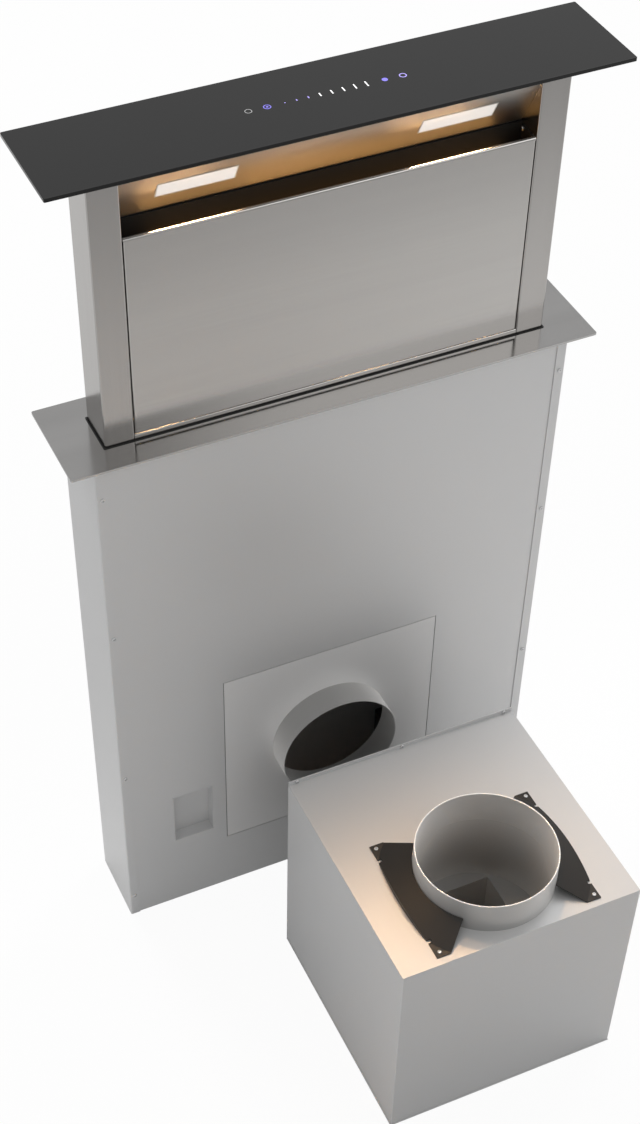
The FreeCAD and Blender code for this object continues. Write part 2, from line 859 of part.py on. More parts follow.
def catch_place():
    """Middle of the catch screw on the right post's inner face, as (y, z)."""
    return catch_screw_y, panel_top - catch_screw_drop


def panel_catch():
    """Right spring catch: a plate on the post with a tongue behind the panel's lip."""
    y, z = catch_place()
    front = y - catch_depth
    low = z - catch_drop
    plate = block(post_inner - sheet, post_inner, front, y + catch_margin, low, z + catch_margin)
    tongue = block(post_inner - catch_tongue, post_inner, front, front + sheet, low, z - catch_margin)
    hole = rod(Vector(post_inner - 2 * sheet, y, z), Vector(1, 0, 0), screw_hole_radius, 4 * sheet)
    return plate.fuse(tongue).cut(hole).removeSplitter()


def catch_screw():
    y, z = catch_place()
    return pan_screw(Vector(post_inner - sheet, y, z), Vector(1, 0, 0))


def lamp_direction():
    """Unit vector up the slanted face of the lamp panel, and the one out of that face."""
    up = Vector(0, lamp_brow_front - lamp_edge_y, lamp_brow_z - lamp_edge_z).normalize()
    return up, Vector(0, -up.z, up.y)


def lamp_block(margin, depth_from, depth_to):
    """Pair of blocks on the slanted face, with the lens outline grown by a margin."""
    up, out = lamp_direction()
    foot = Vector(0, lamp_edge_y, lamp_edge_z) + up * (lamp_rise - lamp_height / 2 - margin)
    pair = []
    for side in (-1, 1):
        start = foot + out * depth_from + Vector(side * lamp_offset - lamp_length / 2 - margin, 0, 0)
        width = Vector(lamp_length + 2 * margin, 0, 0)
        height = up * (lamp_height + 2 * margin)
        base = Part.Face(Part.makePolygon([start, start + width, start + width + height, start + height, start]))
        pair.append(base.extrude(out * (depth_to - depth_from)))
    return pair


def lamp_panel():
    """Folded sheet over the air slot: back return, slanted lamp face, brow and top return."""
    half = post_inner - fit_gap
    path = [(lamp_edge_y + lamp_return, lamp_edge_z), (lamp_edge_y, lamp_edge_z),
            (lamp_brow_front, lamp_brow_z), (lamp_brow_front, post_top), (lamp_brow_front + 14, post_top)]
    corners, radii = folded_outline(path[::-1], lamp_sheet, bend_radius)
    panel = slab([on_yz(u, v) for u, v in corners], radii, Vector(-half, 0, 0), Vector(2 * half, 0, 0))
    for window in lamp_block(fit_gap, -3, 3):
        panel = panel.cut(window)
    return panel


def lamp_bezels():
    """Thin frames of the two lamps, let into the lamp panel."""
    outer = lamp_block(0, -lens_thickness, 0.3)
    inner = lamp_block(-bezel_width, -lens_thickness - 1, 1)
    return group([frame.cut(hole) for frame, hole in zip(outer, inner)])


def lamp_lenses():
    """Flat diffusers of the two lamps."""
    return group(lamp_block(-bezel_width, -lens_thickness, 0.1))


def lamp_boards():
    """Circuit boards behind the diffusers, each with a row of light-emitting chips on its back plate."""
    return group(lamp_block(0, -lens_thickness - 1.6, -lens_thickness))


def glass_carrier():
    """Steel plate on top of the posts, bonded under the glass."""
    half_x = tower_side - carrier_inset
    half_y = tower_back - carrier_inset
    return rounded_block(-half_x, half_x, -half_y, half_y, post_top, carrier_top, post_corner)


def glass_top():
    half_x = glass_length / 2
    half_y = glass_depth / 2
    glass = rounded_block(-half_x, half_x, -half_y, half_y, carrier_top, carrier_top + glass_thickness,
                          glass_corner)
    rim = [edge for edge in glass.Edges if edge.BoundBox.ZMin > carrier_top + glass_thickness / 2]
    return glass.makeChamfer(glass_bevel, rim)


def touch_module():
    """Touch electronics in a shallow case, hung under the glass carrier."""
    low = post_top - touch_height
    back = tower_back - sheet - 0.8
    case = rounded_block(-touch_length / 2, touch_length / 2, back - touch_depth, back, low, post_top, 3)
    plug = block(-16, 16, back - 12, back - 4, low - 5, low)
    return case.fuse(plug).removeSplitter()


# ---------------------------------------------------------------- grease filters

filter_y = tower_back - sheet - filter_back_gap
filter_foot = panel_foot + 9.0
filter_top = filter_foot + filter_height


def filter_block(margin_x, margin_z, y0, y1):
    """Block with the outline of the right filter, grown or shrunk by margins."""
    inner = filter_gap / 2
    outer = post_inner - filter_gap / 2
    return block(inner - margin_x, outer + margin_x, y0, y1, filter_foot - margin_z, filter_top + margin_z)


def grease_filter_frame():
    """Right filter frame: a rim with a grille of slots on its front and back face."""
    y1 = filter_y
    y0 = y1 - filter_thickness
    frame = filter_block(0, 0, y0, y1)
    hollow = filter_block(-filter_frame, -filter_frame, y0 + 1, y1 - 1)
    left = filter_gap / 2 + filter_frame
    right = post_inner - filter_gap / 2 - filter_frame
    pitch = (right - left) / filter_slots
    slots = []
    for index in range(filter_slots):
        x = left + (index + 0.5) * pitch
        slots.append(block(x - filter_slot_width / 2, x + filter_slot_width / 2, y0 - 1, y1 + 1,
                           filter_foot + filter_frame + 2, filter_top - filter_frame - 2))
    return frame.cut(Part.makeCompound([hollow] + slots))


def grease_filter_mesh():
    """Right filter pad: a pleated stack of mesh between the two grilles."""
    y1 = filter_y - 1 - fit_gap
    y0 = filter_y - filter_thickness + 1 + fit_gap
    left = filter_gap / 2 + filter_frame + fit_gap
    right = post_inner - filter_gap / 2 - filter_frame - fit_gap
    pitch = (right - left) / filter_slots
    low, high = [], []
    for index in range(filter_slots + 1):
        x = left + index * pitch
        inset = 0 if index % 2 else 2.0
        low.append(on_xy(x, y0 + inset))
        high.append(on_xy(x, y1 - 2.0 + inset))
    face = Part.Face(Part.makePolygon(low + high[::-1] + [low[0]]))
    pad = face.extrude(Vector(0, 0, filter_height - 2 * (filter_frame + fit_gap)))
    pad.translate(Vector(0, 0, filter_foot + filter_frame + fit_gap))
    return pad


def filter_rail(low, high, opens_up):
    """Channel across the tower that holds the filters' top or bottom edge."""
    y1 = filter_y + rail_clearance + rail_wall
    y0 = filter_y - filter_thickness - rail_clearance - rail_wall
    outer = block(-post_inner, post_inner, y0, y1, low, high)
    if opens_up:
        inner = block(-post_inner, post_inner, y0 + rail_wall, y1 - rail_wall, low + rail_wall, high)
    else:
        inner = block(-post_inner, post_inner, y0 + rail_wall, y1 - rail_wall, low, high - rail_wall)
    return outer.cut(inner)


def filter_rails():
    bottom_rail = filter_rail(filter_foot - rail_wall - 0.2, filter_foot + 8, True)
    back_ledge = block(-post_inner, post_inner, filter_y + rail_clearance + rail_wall, tower_back - sheet,
                       filter_foot - rail_wall - 0.2, filter_foot - 0.2)
    top_rail_piece = filter_rail(filter_top - 6, lamp_edge_z, False)
    return group([bottom_rail.fuse(back_ledge).removeSplitter(), top_rail_piece])


# ---------------------------------------------------------------- blower box


def box_duct_axis(height):
    """Point on the outlet collar's axis."""
    return Vector(box_offset_x, box_duct_y, height)


def box_top_panel():
    panel = block(box_left, box_right, box_front, box_back, box_height - sheet, box_height)
    panel = panel.cut(rod(box_duct_axis(box_height - 3), Vector(0, 0, 1), box_duct_radius + fit_gap, 6))
    for x, y in bracket_screw_places():
        for side in (-1, 1):
            place = box_duct_axis(box_height - 3) + Vector(side * x, y, 0)
            panel = panel.cut(rod(place, Vector(0, 0, 1), screw_hole_radius, 6))
    return panel


def box_side_panel(left):
    """Side of the blower box, between the bottom and the top panel."""
    x0 = box_left if left else box_right - sheet
    return block(x0, x0 + sheet, box_front, box_back, sheet, box_height - sheet)


def box_front_panel():
    return block(box_left + sheet, box_right - sheet, box_front, box_front + sheet, sheet, box_height - sheet)


def box_bottom_panel():
    """Bottom plate, a little proud of the walls at the front and sides."""
    return block(box_left - box_foot_lip, box_right + box_foot_lip, box_front - box_foot_lip, box_back, 0, sheet)


def rear_screw_places():
    """Middle of each screw in the upstanding strip of the rear frame."""
    z = box_height + rear_strip / 2
    return [Vector(box_offset_x + k * rear_screw_spacing, box_back, z) for k in (-1, 0, 1)]


def box_rear_frame():
    """Frame round the inlet, with a strip that stands above the top panel."""
    front = box_back - rear_strip_sheet
    frame = block(box_left + sheet, box_right - sheet, front, box_back, sheet, box_height - sheet)
    strip = block(box_left, box_right, box_back, box_back + rear_strip_sheet, sheet, box_height + rear_strip)
    opening = block(box_left + rear_frame_width, box_right - rear_frame_width, front - 1, box_back + 3,
                    rear_frame_width, box_height - rear_frame_width)
    upright = [edge for edge in opening.Edges if abs(edge.tangentAt(edge.FirstParameter).y) > 0.9]
    frame = frame.fuse(strip).cut(opening.makeFillet(rear_opening_corner, upright))
    for place in rear_screw_places():
        frame = frame.cut(rod(place - Vector(0, 3, 0), Vector(0, 1, 0), screw_hole_radius - 0.1, 6))
    return frame.removeSplitter()


def rear_strip_screws():
    """Small screws in the upstanding strip, with their heads to the front."""
    head = screw_head_radius - 0.2
    profile = [(-rear_screw_head, 0), (-rear_screw_head, head), (0, head), (0, screw_shank_radius),
               (rear_strip_sheet, screw_shank_radius), (rear_strip_sheet, 0)]
    return [turned(profile, place, Vector(0, 1, 0)) for place in rear_screw_places()]


def outlet_collar():
    """Round outlet collar, with its flange under the top panel."""
    inner = box_duct_radius - box_duct_wall
    neck = box_duct_radius - duct_neck_relief
    low = box_height - sheet - box_duct_wall
    top = sheet + box_duct_wall + box_duct_height
    return turned([(0, inner), (0, box_duct_radius + box_duct_flange),
                   (box_duct_wall, box_duct_radius + box_duct_flange), (box_duct_wall, neck),
                   (top - box_duct_spigot, neck), (top - box_duct_spigot, box_duct_radius),
                   (top, box_duct_radius), (top, inner)],
                  box_duct_axis(low), Vector(0, 0, 1))


def bracket_outline(inset):
    """Plan of the right bracket about the collar's axis, shrunk by an inset on its outer sides."""
    reach = bracket_reach - inset
    notch = bracket_notch_y - inset
    half = bracket_half_length - inset
    ear = bracket_ear_end - inset
    inner = bracket_inner_x - 3 * inset
    corners = [Vector(inner, -bracket_inner_x + inset, 0), Vector(ear, -half, 0), Vector(reach, -half, 0),
               Vector(reach, -notch, 0)]
    far = [Vector(reach, notch, 0), Vector(reach, half, 0), Vector(ear, half, 0),
           Vector(inner, bracket_inner_x - inset, 0)]
    edges = [Part.LineSegment(a, b).toShape() for a, b in zip(corners, corners[1:])]
    edges.append(Part.Arc(corners[-1], Vector(reach + bracket_bulge, 0, 0), far[0]).toShape())
    edges += [Part.LineSegment(a, b).toShape() for a, b in zip(far, far[1:])]
    edges.append(Part.LineSegment(far[-1], corners[0]).toShape())
    return Part.Face(Part.Wire(edges)).extrude(Vector(0, 0, 2 * bracket_rise))


def bracket_dome(drop):
    """Flat ring that rises as a cone towards the collar, lowered by a drop."""
    inner = box_duct_radius + bracket_gap
    top = bracket_sheet - drop
    return turned([(0, inner), (bracket_rise - drop, inner), (max(top, 0), bracket_fold_radius),
                   (max(top, 0) + 1e-3, bracket_fold_radius + 60), (0, bracket_fold_radius + 60)],
                  Vector(0, 0, 0), Vector(0, 0, 1))


def collar_bracket():
    """Right bracket: two flat ears and a raised, conical middle that meets the collar."""
    outer = bracket_outline(0).common(bracket_dome(0))
    hollow_plan = bracket_outline(bracket_sheet)
    inner = box_duct_radius + bracket_gap
    cone = turned([(-1, inner - 1), (bracket_rise - bracket_sheet, inner - 1), (0, bracket_fold_radius),
                   (-1, bracket_fold_radius)], Vector(0, 0, 0), Vector(0, 0, 1))
    bracket = outer.cut(hollow_plan.common(cone))
    for side in (-1, 1):
        notch = block(bracket_reach - bracket_notch, bracket_reach + 9,
                      side * bracket_notch_y - bracket_notch / 2, side * bracket_notch_y + bracket_notch / 2, -1, 9)
        bracket = bracket.cut(notch)
    for x, y in bracket_screw_places():
        bracket = bracket.cut(rod(Vector(x, y, -1), Vector(0, 0, 1), screw_hole_radius, 9))
    bracket.translate(box_duct_axis(box_height))
    return bracket.removeSplitter()


def bracket_screw_places():
    """Screws of the right bracket, about the collar's axis."""
    return [(bracket_reach - 5.5, side * (bracket_half_length - 6)) for side in (-1, 1)]


def bracket_screws():
    screws = []
    for x, y in bracket_screw_places():
        for side in (-1, 1):
            seat = box_duct_axis(box_height + bracket_sheet) + Vector(side * x, y, 0)
            screws.append(pan_screw(seat, Vector(0, 0, -1)))
    return screws


def mirrored_about_box(solid):
    """Copy of a solid on the other side of the blower box."""
    return solid.mirror(Vector(box_offset_x, 0, 0), Vector(1, 0, 0))


# ---------------------------------------------------------------- blower


def scroll_face(inset):
    """Four-centre spiral of the scroll, in the XZ plane about the wheel's axis."""
    half = scroll_step / 2
    first = wheel_radius + scroll_gap + half + scroll_sheet - inset
    second = first + scroll_step
    third = second + scroll_step
    tongue_x = tongue_offset + inset - scroll_sheet
    mouth = box_scroll_mouth() - wheel_z
    top = Vector(-half, 0, -half + first)
    left = Vector(-half - first, 0, -half)
    bottom = Vector(half, 0, -half - second)
    right = Vector(half + third, 0, half)
    diagonal = math.sqrt(0.5)
    edges = [
        Part.Arc(top, Vector(-half - first * diagonal, 0, -half + first * diagonal), left).toShape(),
        Part.Arc(left, Vector(half - second * diagonal, 0, -half - second * diagonal), bottom).toShape(),
        Part.Arc(bottom, Vector(half + third * diagonal, 0, half - third * diagonal), right).toShape(),
        Part.LineSegment(right, Vector(right.x, 0, mouth)).toShape(),
        Part.LineSegment(Vector(right.x, 0, mouth), Vector(tongue_x, 0, mouth)).toShape(),
    ]
    bend_start = Vector(tongue_x, 0, top.z + tongue_radius)
    bend_end = Vector(tongue_x - tongue_radius, 0, top.z)
    bend_middle = Vector(tongue_x - tongue_radius * (1 - diagonal), 0, top.z + tongue_radius * (1 - diagonal))
    edges.append(Part.LineSegment(Vector(tongue_x, 0, mouth), bend_start).toShape())
    edges.append(Part.Arc(bend_start, bend_middle, bend_end).toShape())
    edges.append(Part.LineSegment(bend_end, top).toShape())
    return Part.Face(Part.Wire(edges))


def box_scroll_mouth():
    """Height of the scroll's rectangular mouth."""
    return wheel_z + wheel_radius + scroll_gap + scroll_sheet + tongue_radius + scroll_neck


def fan_scroll():
    """Sheet scroll: spiral wall between two cheeks, open at its mouth, eye and motor hole."""
    outer = scroll_face(0).extrude(Vector(0, scroll_width, 0))
    inner = scroll_face(scroll_sheet).extrude(Vector(0, scroll_width - 2 * scroll_sheet, 0))
    inner.translate(Vector(0, scroll_sheet, 0))
    mouth = block(tongue_offset, scroll_reach, scroll_sheet, scroll_width - scroll_sheet,
                  box_scroll_mouth() - wheel_z - 3, box_scroll_mouth() - wheel_z + 3)
    eye = rod(Vector(0, scroll_width / 2, 0), Vector(0, 1, 0), wheel_eye_radius + bell_bend - 2, scroll_width)
    motor_hole = rod(Vector(0, -1, 0), Vector(0, 1, 0), spider_radius - spider_ring, scroll_width / 2)
    scroll = outer.cut(inner).cut(mouth).cut(eye).cut(motor_hole)
    scroll.translate(Vector(wheel_x, scroll_front, wheel_z))
    foot = scroll_foot_angle()
    back_foot = foot.mirror(Vector(0, box_duct_y, 0), Vector(0, 1, 0))
    return scroll.multiFuse([foot, back_foot])


def scroll_foot_angle():
    """Angle along the foot of the front cheek, standing on the bottom plate."""
    path = [(scroll_front - foot_leg, sheet), (scroll_front, sheet), (scroll_front, sheet + foot_rise)]
    corners, radii = folded_outline(path, scroll_sheet, bend_radius)
    return slab([on_yz(u, v) for u, v in corners], radii, Vector(wheel_x - foot_span / 2, 0, 0),
                Vector(foot_span, 0, 0))


def outlet_transition():
    """Drum that carries the air from the scroll's rectangular mouth up to the round collar."""
    low = box_scroll_mouth()
    high = box_height - sheet - box_duct_wall
    inner = box_duct_radius - box_duct_wall
    drum = rod(box_duct_axis(low), Vector(0, 0, 1), inner + drum_wall, high - low)
    drum = drum.cut(rod(box_duct_axis(low + sheet), Vector(0, 0, 1), inner, high - low))
    mouth = block(wheel_x + tongue_offset, wheel_x + scroll_reach,
                  scroll_front + scroll_sheet, scroll_back - scroll_sheet, low - 1, low + 2 * sheet)
    return drum.cut(mouth)


def inlet_ring():
    """Bell mouth on the scroll's back cheek: a flange, then a throat that curves into the wheel."""
    throat = wheel_eye_radius - bell_gap
    outside = [(bell_sheet, wheel_eye_radius + bell_flange)]
    inside = [(0, wheel_eye_radius + bell_flange)]
    for index in range(bell_steps + 1):
        turn = math.pi / 2 * index / bell_steps
        fall = 1 - math.cos(turn)
        draw = 1 - math.sin(turn)
        outside.append((bell_sheet - bell_bend * fall, throat + bell_bend * draw))
        small = bell_bend - bell_sheet
        inside.append((-small * fall, throat + bell_sheet + small * draw))
    return turned(outside + inside[::-1], Vector(wheel_x, scroll_back, wheel_z), Vector(0, 1, 0))


def blade_face():
    """One forward-curved blade as a bent strip in the XZ plane, about the wheel's axis."""
    inner = wheel_eye_radius
    outer = wheel_radius - blade_inset - blade_sheet
    lean = math.radians(blade_lean)
    start = Vector(inner, 0, 0)
    end = Vector(outer * math.cos(lean), 0, outer * math.sin(lean))
    chord = end - start
    across = Vector(chord.z, 0, -chord.x).normalize()
    belly = chord.Length * math.tan(math.radians(blade_entry_angle) / 4)
    middle = start + chord * 0.5 + across * belly
    shift = across * blade_sheet
    edges = [
        Part.Arc(start, middle, end).toShape(),
        Part.LineSegment(end, end + shift).toShape(),
        Part.Arc(end + shift, middle + shift, start + shift).toShape(),
        Part.LineSegment(start + shift, start).toShape(),
    ]
    return Part.Face(Part.Wire(edges))


def blower_wheel():
    """Fan wheel: cupped back disc, hub with its shaft, curved blades and a rim."""
    front = (scroll_width - wheel_width) / 2
    rim_start = front + wheel_width - wheel_rim
    cup = fan_motor_radius + cup_gap
    cup_depth = fan_motor_length + 4.0
    disc = turned([(front, cup), (front, wheel_radius), (front + wheel_disc, wheel_radius),
                   (front + wheel_disc, cup + wheel_disc), (cup_depth + wheel_disc, cup + wheel_disc - 6),
                   (cup_depth + wheel_disc, 0), (cup_depth - 24, 0), (cup_depth - 24, shaft_radius),
                   (cup_depth, shaft_radius), (cup_depth, cup - 6)], Vector(0, 0, 0), Vector(0, 1, 0))
    hub = rod(Vector(0, cup_depth + wheel_disc, 0), Vector(0, 1, 0), 11, 8)
    rim = ring(Vector(0, rim_start, 0), Vector(0, 1, 0), wheel_radius, wheel_eye_radius - blade_inset, wheel_rim)
    blade = blade_face().extrude(Vector(0, wheel_width - wheel_disc - wheel_rim, 0))
    blade.translate(Vector(0, front + wheel_disc, 0))
    blades = []
    for index in range(blade_count):
        copy = blade.copy()
        copy.rotate(Vector(0, 0, 0), Vector(0, 1, 0), index * 360.0 / blade_count)
        blades.append(copy)
    wheel = disc.multiFuse([hub, rim] + blades)
    wheel.translate(Vector(wheel_x, scroll_front, wheel_z))
    return wheel


def fan_motor():
    """Motor inside the wheel's cup, with the bearing bore of the fan shaft."""
    start = Vector(wheel_x, scroll_front, wheel_z)
    cup_depth = fan_motor_length + 4.0
    body = turned([(0, 0), (0, fan_motor_radius), (fan_motor_length - 10, fan_motor_radius - 1),
                   (fan_motor_length - 4, fan_motor_radius - 10), (fan_motor_length, 14), (fan_motor_length, 0)],
                  start, Vector(0, 1, 0))
    bore = rod(start + Vector(0, cup_depth - 24.5, 0), Vector(0, 1, 0), shaft_radius + running_gap, 40)
    return body.cut(bore)


def motor_spider():
    """Ring and cross arms that carry the motor on the scroll's front cheek."""
    start = Vector(wheel_x, scroll_front - bracket_sheet, wheel_z)
    outer = ring(start, Vector(0, 1, 0), spider_radius, spider_radius - spider_ring - 3, bracket_sheet)
    plate = rod(start, Vector(0, 1, 0), fan_motor_radius - 12, bracket_sheet)
    reach = spider_radius - 4
    arms = [block(-reach, reach, 0, bracket_sheet, -spider_arm / 2, spider_arm / 2),
            block(-spider_arm / 2, spider_arm / 2, 0, bracket_sheet, -reach, reach)]
    for arm in arms:
        arm.translate(start)
    spider = outer.multiFuse([plate] + arms)
    for angle in range(0, 360, 90):
        turn = math.radians(angle)
        place = start + Vector(math.cos(turn) * 20, -1, math.sin(turn) * 20)
        spider = spider.cut(rod(place, Vector(0, 1, 0), 2.2, 4))
    return spider.removeSplitter()


def run_capacitor():
    """Motor capacitor: a can on the front panel's inner face, held by its strap."""
    wall = box_front + sheet
    centre = Vector(box_right - 46, wall + capacitor_radius + 1, sheet + 60)
    can = turned([(0, 0), (0, capacitor_radius), (capacitor_length - 2, capacitor_radius),
                  (capacitor_length, capacitor_radius - 2), (capacitor_length, 0)], centre, Vector(0, 0, 1))
    strap = ring(centre + Vector(0, 0, 20), Vector(0, 0, 1), capacitor_radius + 1, capacitor_radius - 1, 14)
    tab = block(centre.x - 28, centre.x + 28, wall, wall + 1.2, centre.z + 20, centre.z + 34)
    tags = [block(centre.x + k - 3, centre.x + k + 3, centre.y - 0.4, centre.y + 0.4,
                  centre.z + capacitor_length - 1, centre.z + capacitor_length + 7) for k in (-7, 7)]
    return can.multiFuse([strap, tab] + tags).removeSplitter()


# ---------------------------------------------------------------- sub-parts


def build_housing():
    right = side_panel()
    save("right_side_panel", right)
    save("left_side_panel", mirrored(right))
    save("front_cover", front_cover())
    save("back_panel", back_panel())
    save("bottom_pan", bottom_pan())
    rail = top_rail()
    save("top_rails", group([rail, rail.mirror(Vector(0, 0, 0), Vector(0, 1, 0))]))
    save("worktop_flange", worktop_flange())
    save("wiper_seal", wiper_seal())
    save("outlet_plate", outlet_plate())
    save("plate_backing_frame", plate_backing_frame())
    save("duct_collar", duct_collar())
    save("connection_recess", connection_recess())
    save("cover_screws", group(cover_screws(housing_front, 1) + cover_screws(-housing_front, -1)))
    save("control_box", control_box())
    save("mains_gland", mains_gland())


def build_lift():
    gear = pinion()
    save("pinions", group([gear, mirrored(gear)]))
    save("cross_shaft", cross_shaft())
    bar = rack()
    save("lift_racks", group([bar, mirrored(bar)]))
    rail = guide_rail()
    save("guide_rails", group([rail, mirrored(rail)]))
    shoes = [guide_shoe(tower_foot + 4), guide_shoe(flange_top - rail_leg - shoe_length - 6)]
    save("guide_shoes", group(shoes + [mirrored(shoe) for shoe in shoes]))
    bush = shaft_bush(tower_side, 1)
    save("shaft_bushes", group([bush, mirrored(bush)]))
    save("lift_gearmotor", lift_gearmotor())


def build_tower():
    right = post()
    save("right_post", right)
    save("left_post", mirrored(right))
    save("tower_back_panel", tower_back_panel())
    save("front_apron", front_apron())
    save("lower_cross_bars", lower_cross_bars())
    save("front_panel", front_panel())
    studs = [panel_stud(y, z) for y, z in stud_places()]
    save("panel_studs", group(studs + [mirrored(stud) for stud in studs]))
    catch = panel_catch()
    save("panel_catches", group([catch, mirrored(catch)]))
    screw = catch_screw()
    save("catch_screws", group([screw, mirrored(screw)]))
    save("lamp_panel", lamp_panel())
    save("lamp_bezels", lamp_bezels())
    save("lamp_lenses", lamp_lenses())
    save("lamp_boards", lamp_boards())
    save("glass_carrier", glass_carrier())
    save("glass_top", glass_top())
    save("touch_module", touch_module())


def build_filters():
    frame = grease_filter_frame()
    save("right_filter_frame", frame)
    save("left_filter_frame", mirrored(frame))
    mesh = grease_filter_mesh()
    save("right_filter_mesh", mesh)
    save("left_filter_mesh", mirrored(mesh))
    save("filter_rails", filter_rails())


def build_blower_box():
    save("box_top_panel", box_top_panel())
    save("box_left_panel", box_side_panel(True))
    save("box_right_panel", box_side_panel(False))
    save("box_front_panel", box_front_panel())
    save("box_bottom_panel", box_bottom_panel())
    save("box_rear_frame", box_rear_frame())
    save("outlet_collar", outlet_collar())
    right = collar_bracket()
    save("right_collar_bracket", right)
    save("left_collar_bracket", mirrored_about_box(right))
    save("box_screws", group(bracket_screws() + rear_strip_screws()))


def build_blower():
    save("fan_scroll", fan_scroll())
    save("outlet_transition", outlet_transition())
    save("inlet_ring", inlet_ring())
    save("blower_wheel", blower_wheel())
    save("fan_motor", fan_motor())
    save("motor_spider", motor_spider())
    save("run_capacitor", run_capacitor())


build_housing()
build_lift()
build_tower()
build_filters()
build_blower_box()
build_blower()
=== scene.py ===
# %% [markdown]
# # A downdraft vent and its blower box
#
# This notebook dresses a measured model of a downdraft vent: a slim housing that hangs under
# a worktop, a tower that rises out of it with a glass top, and a loose blower box. The measured
# model is the frame. It's loaded first and never moved, and everything else is built around it.

import json
import math

import bpy
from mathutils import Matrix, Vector

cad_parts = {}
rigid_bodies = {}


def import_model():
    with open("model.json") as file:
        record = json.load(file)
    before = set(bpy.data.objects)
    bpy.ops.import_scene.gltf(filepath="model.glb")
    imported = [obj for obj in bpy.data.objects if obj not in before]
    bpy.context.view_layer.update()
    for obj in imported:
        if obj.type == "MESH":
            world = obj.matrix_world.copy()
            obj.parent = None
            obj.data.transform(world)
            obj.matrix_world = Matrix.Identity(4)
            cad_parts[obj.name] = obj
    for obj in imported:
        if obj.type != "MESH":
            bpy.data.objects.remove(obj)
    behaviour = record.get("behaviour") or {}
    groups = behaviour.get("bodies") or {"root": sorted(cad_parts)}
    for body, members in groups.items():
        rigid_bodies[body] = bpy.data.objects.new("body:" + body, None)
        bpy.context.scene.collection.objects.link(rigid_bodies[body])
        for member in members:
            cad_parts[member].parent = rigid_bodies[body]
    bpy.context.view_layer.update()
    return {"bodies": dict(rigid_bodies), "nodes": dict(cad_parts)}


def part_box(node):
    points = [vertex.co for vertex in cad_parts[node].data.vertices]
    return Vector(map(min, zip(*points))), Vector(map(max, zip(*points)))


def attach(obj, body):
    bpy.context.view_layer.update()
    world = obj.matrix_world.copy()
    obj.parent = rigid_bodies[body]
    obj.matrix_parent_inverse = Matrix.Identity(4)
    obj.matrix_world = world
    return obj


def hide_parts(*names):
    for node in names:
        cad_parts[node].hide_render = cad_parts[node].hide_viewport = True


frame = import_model()
nodes = frame["nodes"]
scene = bpy.context.scene

# %% [markdown]
# ## The camera
#
# A product like this is best seen from above and to one side, so that its front, its top and
# the loose box all show. Setting the camera first means that every later choice can be judged
# from the place where it's seen. The lens is a long one, and the shift slides the frame so that
# both the glass top and the box fit, without turning the camera.

# %% Place the camera
CAMERA_PLACE = Vector((-0.7246, -1.5047, 2.0182))
CAMERA_AIM = Vector((0.2762, 0.6223, -0.7324))
LENS = 63.2
SHIFT = (0.0437, 0.1283)

bpy.ops.object.camera_add(location=CAMERA_PLACE)
camera = bpy.context.object
camera.rotation_euler = CAMERA_AIM.to_track_quat("-Z", "Y").to_euler()
camera.data.lens = LENS
camera.data.shift_x, camera.data.shift_y = SHIFT
scene.camera = camera
scene.view_settings.view_transform = "Standard"
print("camera at", tuple(round(v, 3) for v in camera.location))

# %% [markdown]
# ## Small helpers
#
# Blender's operators act on whatever is selected, so the first helper clears the selection.
# The next ones start a piece, pick faces or edges by their place, and finish a piece: its place
# goes into its mesh, its faces point outwards, and it rides on one body of the frame.

# %% Helpers for selecting
MM = 0.001


def deselect_all():
    """Nothing selected, and no edit mode left on."""
    if bpy.context.object and bpy.context.object.mode != "OBJECT":
        bpy.ops.object.mode_set(mode="OBJECT")
    bpy.ops.object.select_all(action="DESELECT")


def make_active(piece):
    deselect_all()
    piece.select_set(True)
    bpy.context.view_layer.objects.active = piece


def apply_modifier(piece, kind, **values):
    """Add one modifier, set it and apply it."""
    make_active(piece)
    modifier = piece.modifiers.new(kind.title(), kind)
    for name, value in values.items():
        setattr(modifier, name, value)
    bpy.ops.object.modifier_apply(modifier=modifier.name)


def apply_place(piece):
    make_active(piece)
    bpy.ops.object.transform_apply(location=True, rotation=True, scale=True)


def face_outwards(piece):
    """Merge doubles and turn every face outwards."""
    make_active(piece)
    bpy.ops.object.mode_set(mode="EDIT")
    bpy.ops.mesh.select_all(action="SELECT")
    bpy.ops.mesh.remove_doubles(threshold=1e-6)
    bpy.ops.mesh.normals_make_consistent(inside=False)
    bpy.ops.object.mode_set(mode="OBJECT")


def pick(piece, kind, test):
    """In edit mode, select only the vertices, edges or faces that pass a test on their middle."""
    make_active(piece)
    bpy.ops.object.mode_set(mode="EDIT")
    bpy.ops.mesh.select_mode(type=kind)
    bpy.ops.mesh.select_all(action="DESELECT")
    bpy.ops.object.mode_set(mode="OBJECT")
    mesh = piece.data
    if kind == "FACE":
        for face in mesh.polygons:
            face.select = test(face.center, face.normal)
    elif kind == "EDGE":
        for edge in mesh.edges:
            ends = [mesh.vertices[v].co for v in edge.vertices]
            edge.select = test((ends[0] + ends[1]) / 2, (ends[1] - ends[0]).normalized())
    else:
        for vertex in mesh.vertices:
            vertex.select = test(vertex.co, vertex.normal)
    bpy.ops.object.mode_set(mode="EDIT")


# %% Helpers for starting and finishing a piece


def start_block(name, low, high):
    """A block between two corners, as a start for a piece."""
    deselect_all()
    low, high = Vector(low), Vector(high)
    bpy.ops.mesh.primitive_cube_add(size=1, location=(low + high) / 2)
    piece = bpy.context.object
    piece.name = name
    piece.dimensions = high - low
    apply_place(piece)
    return piece


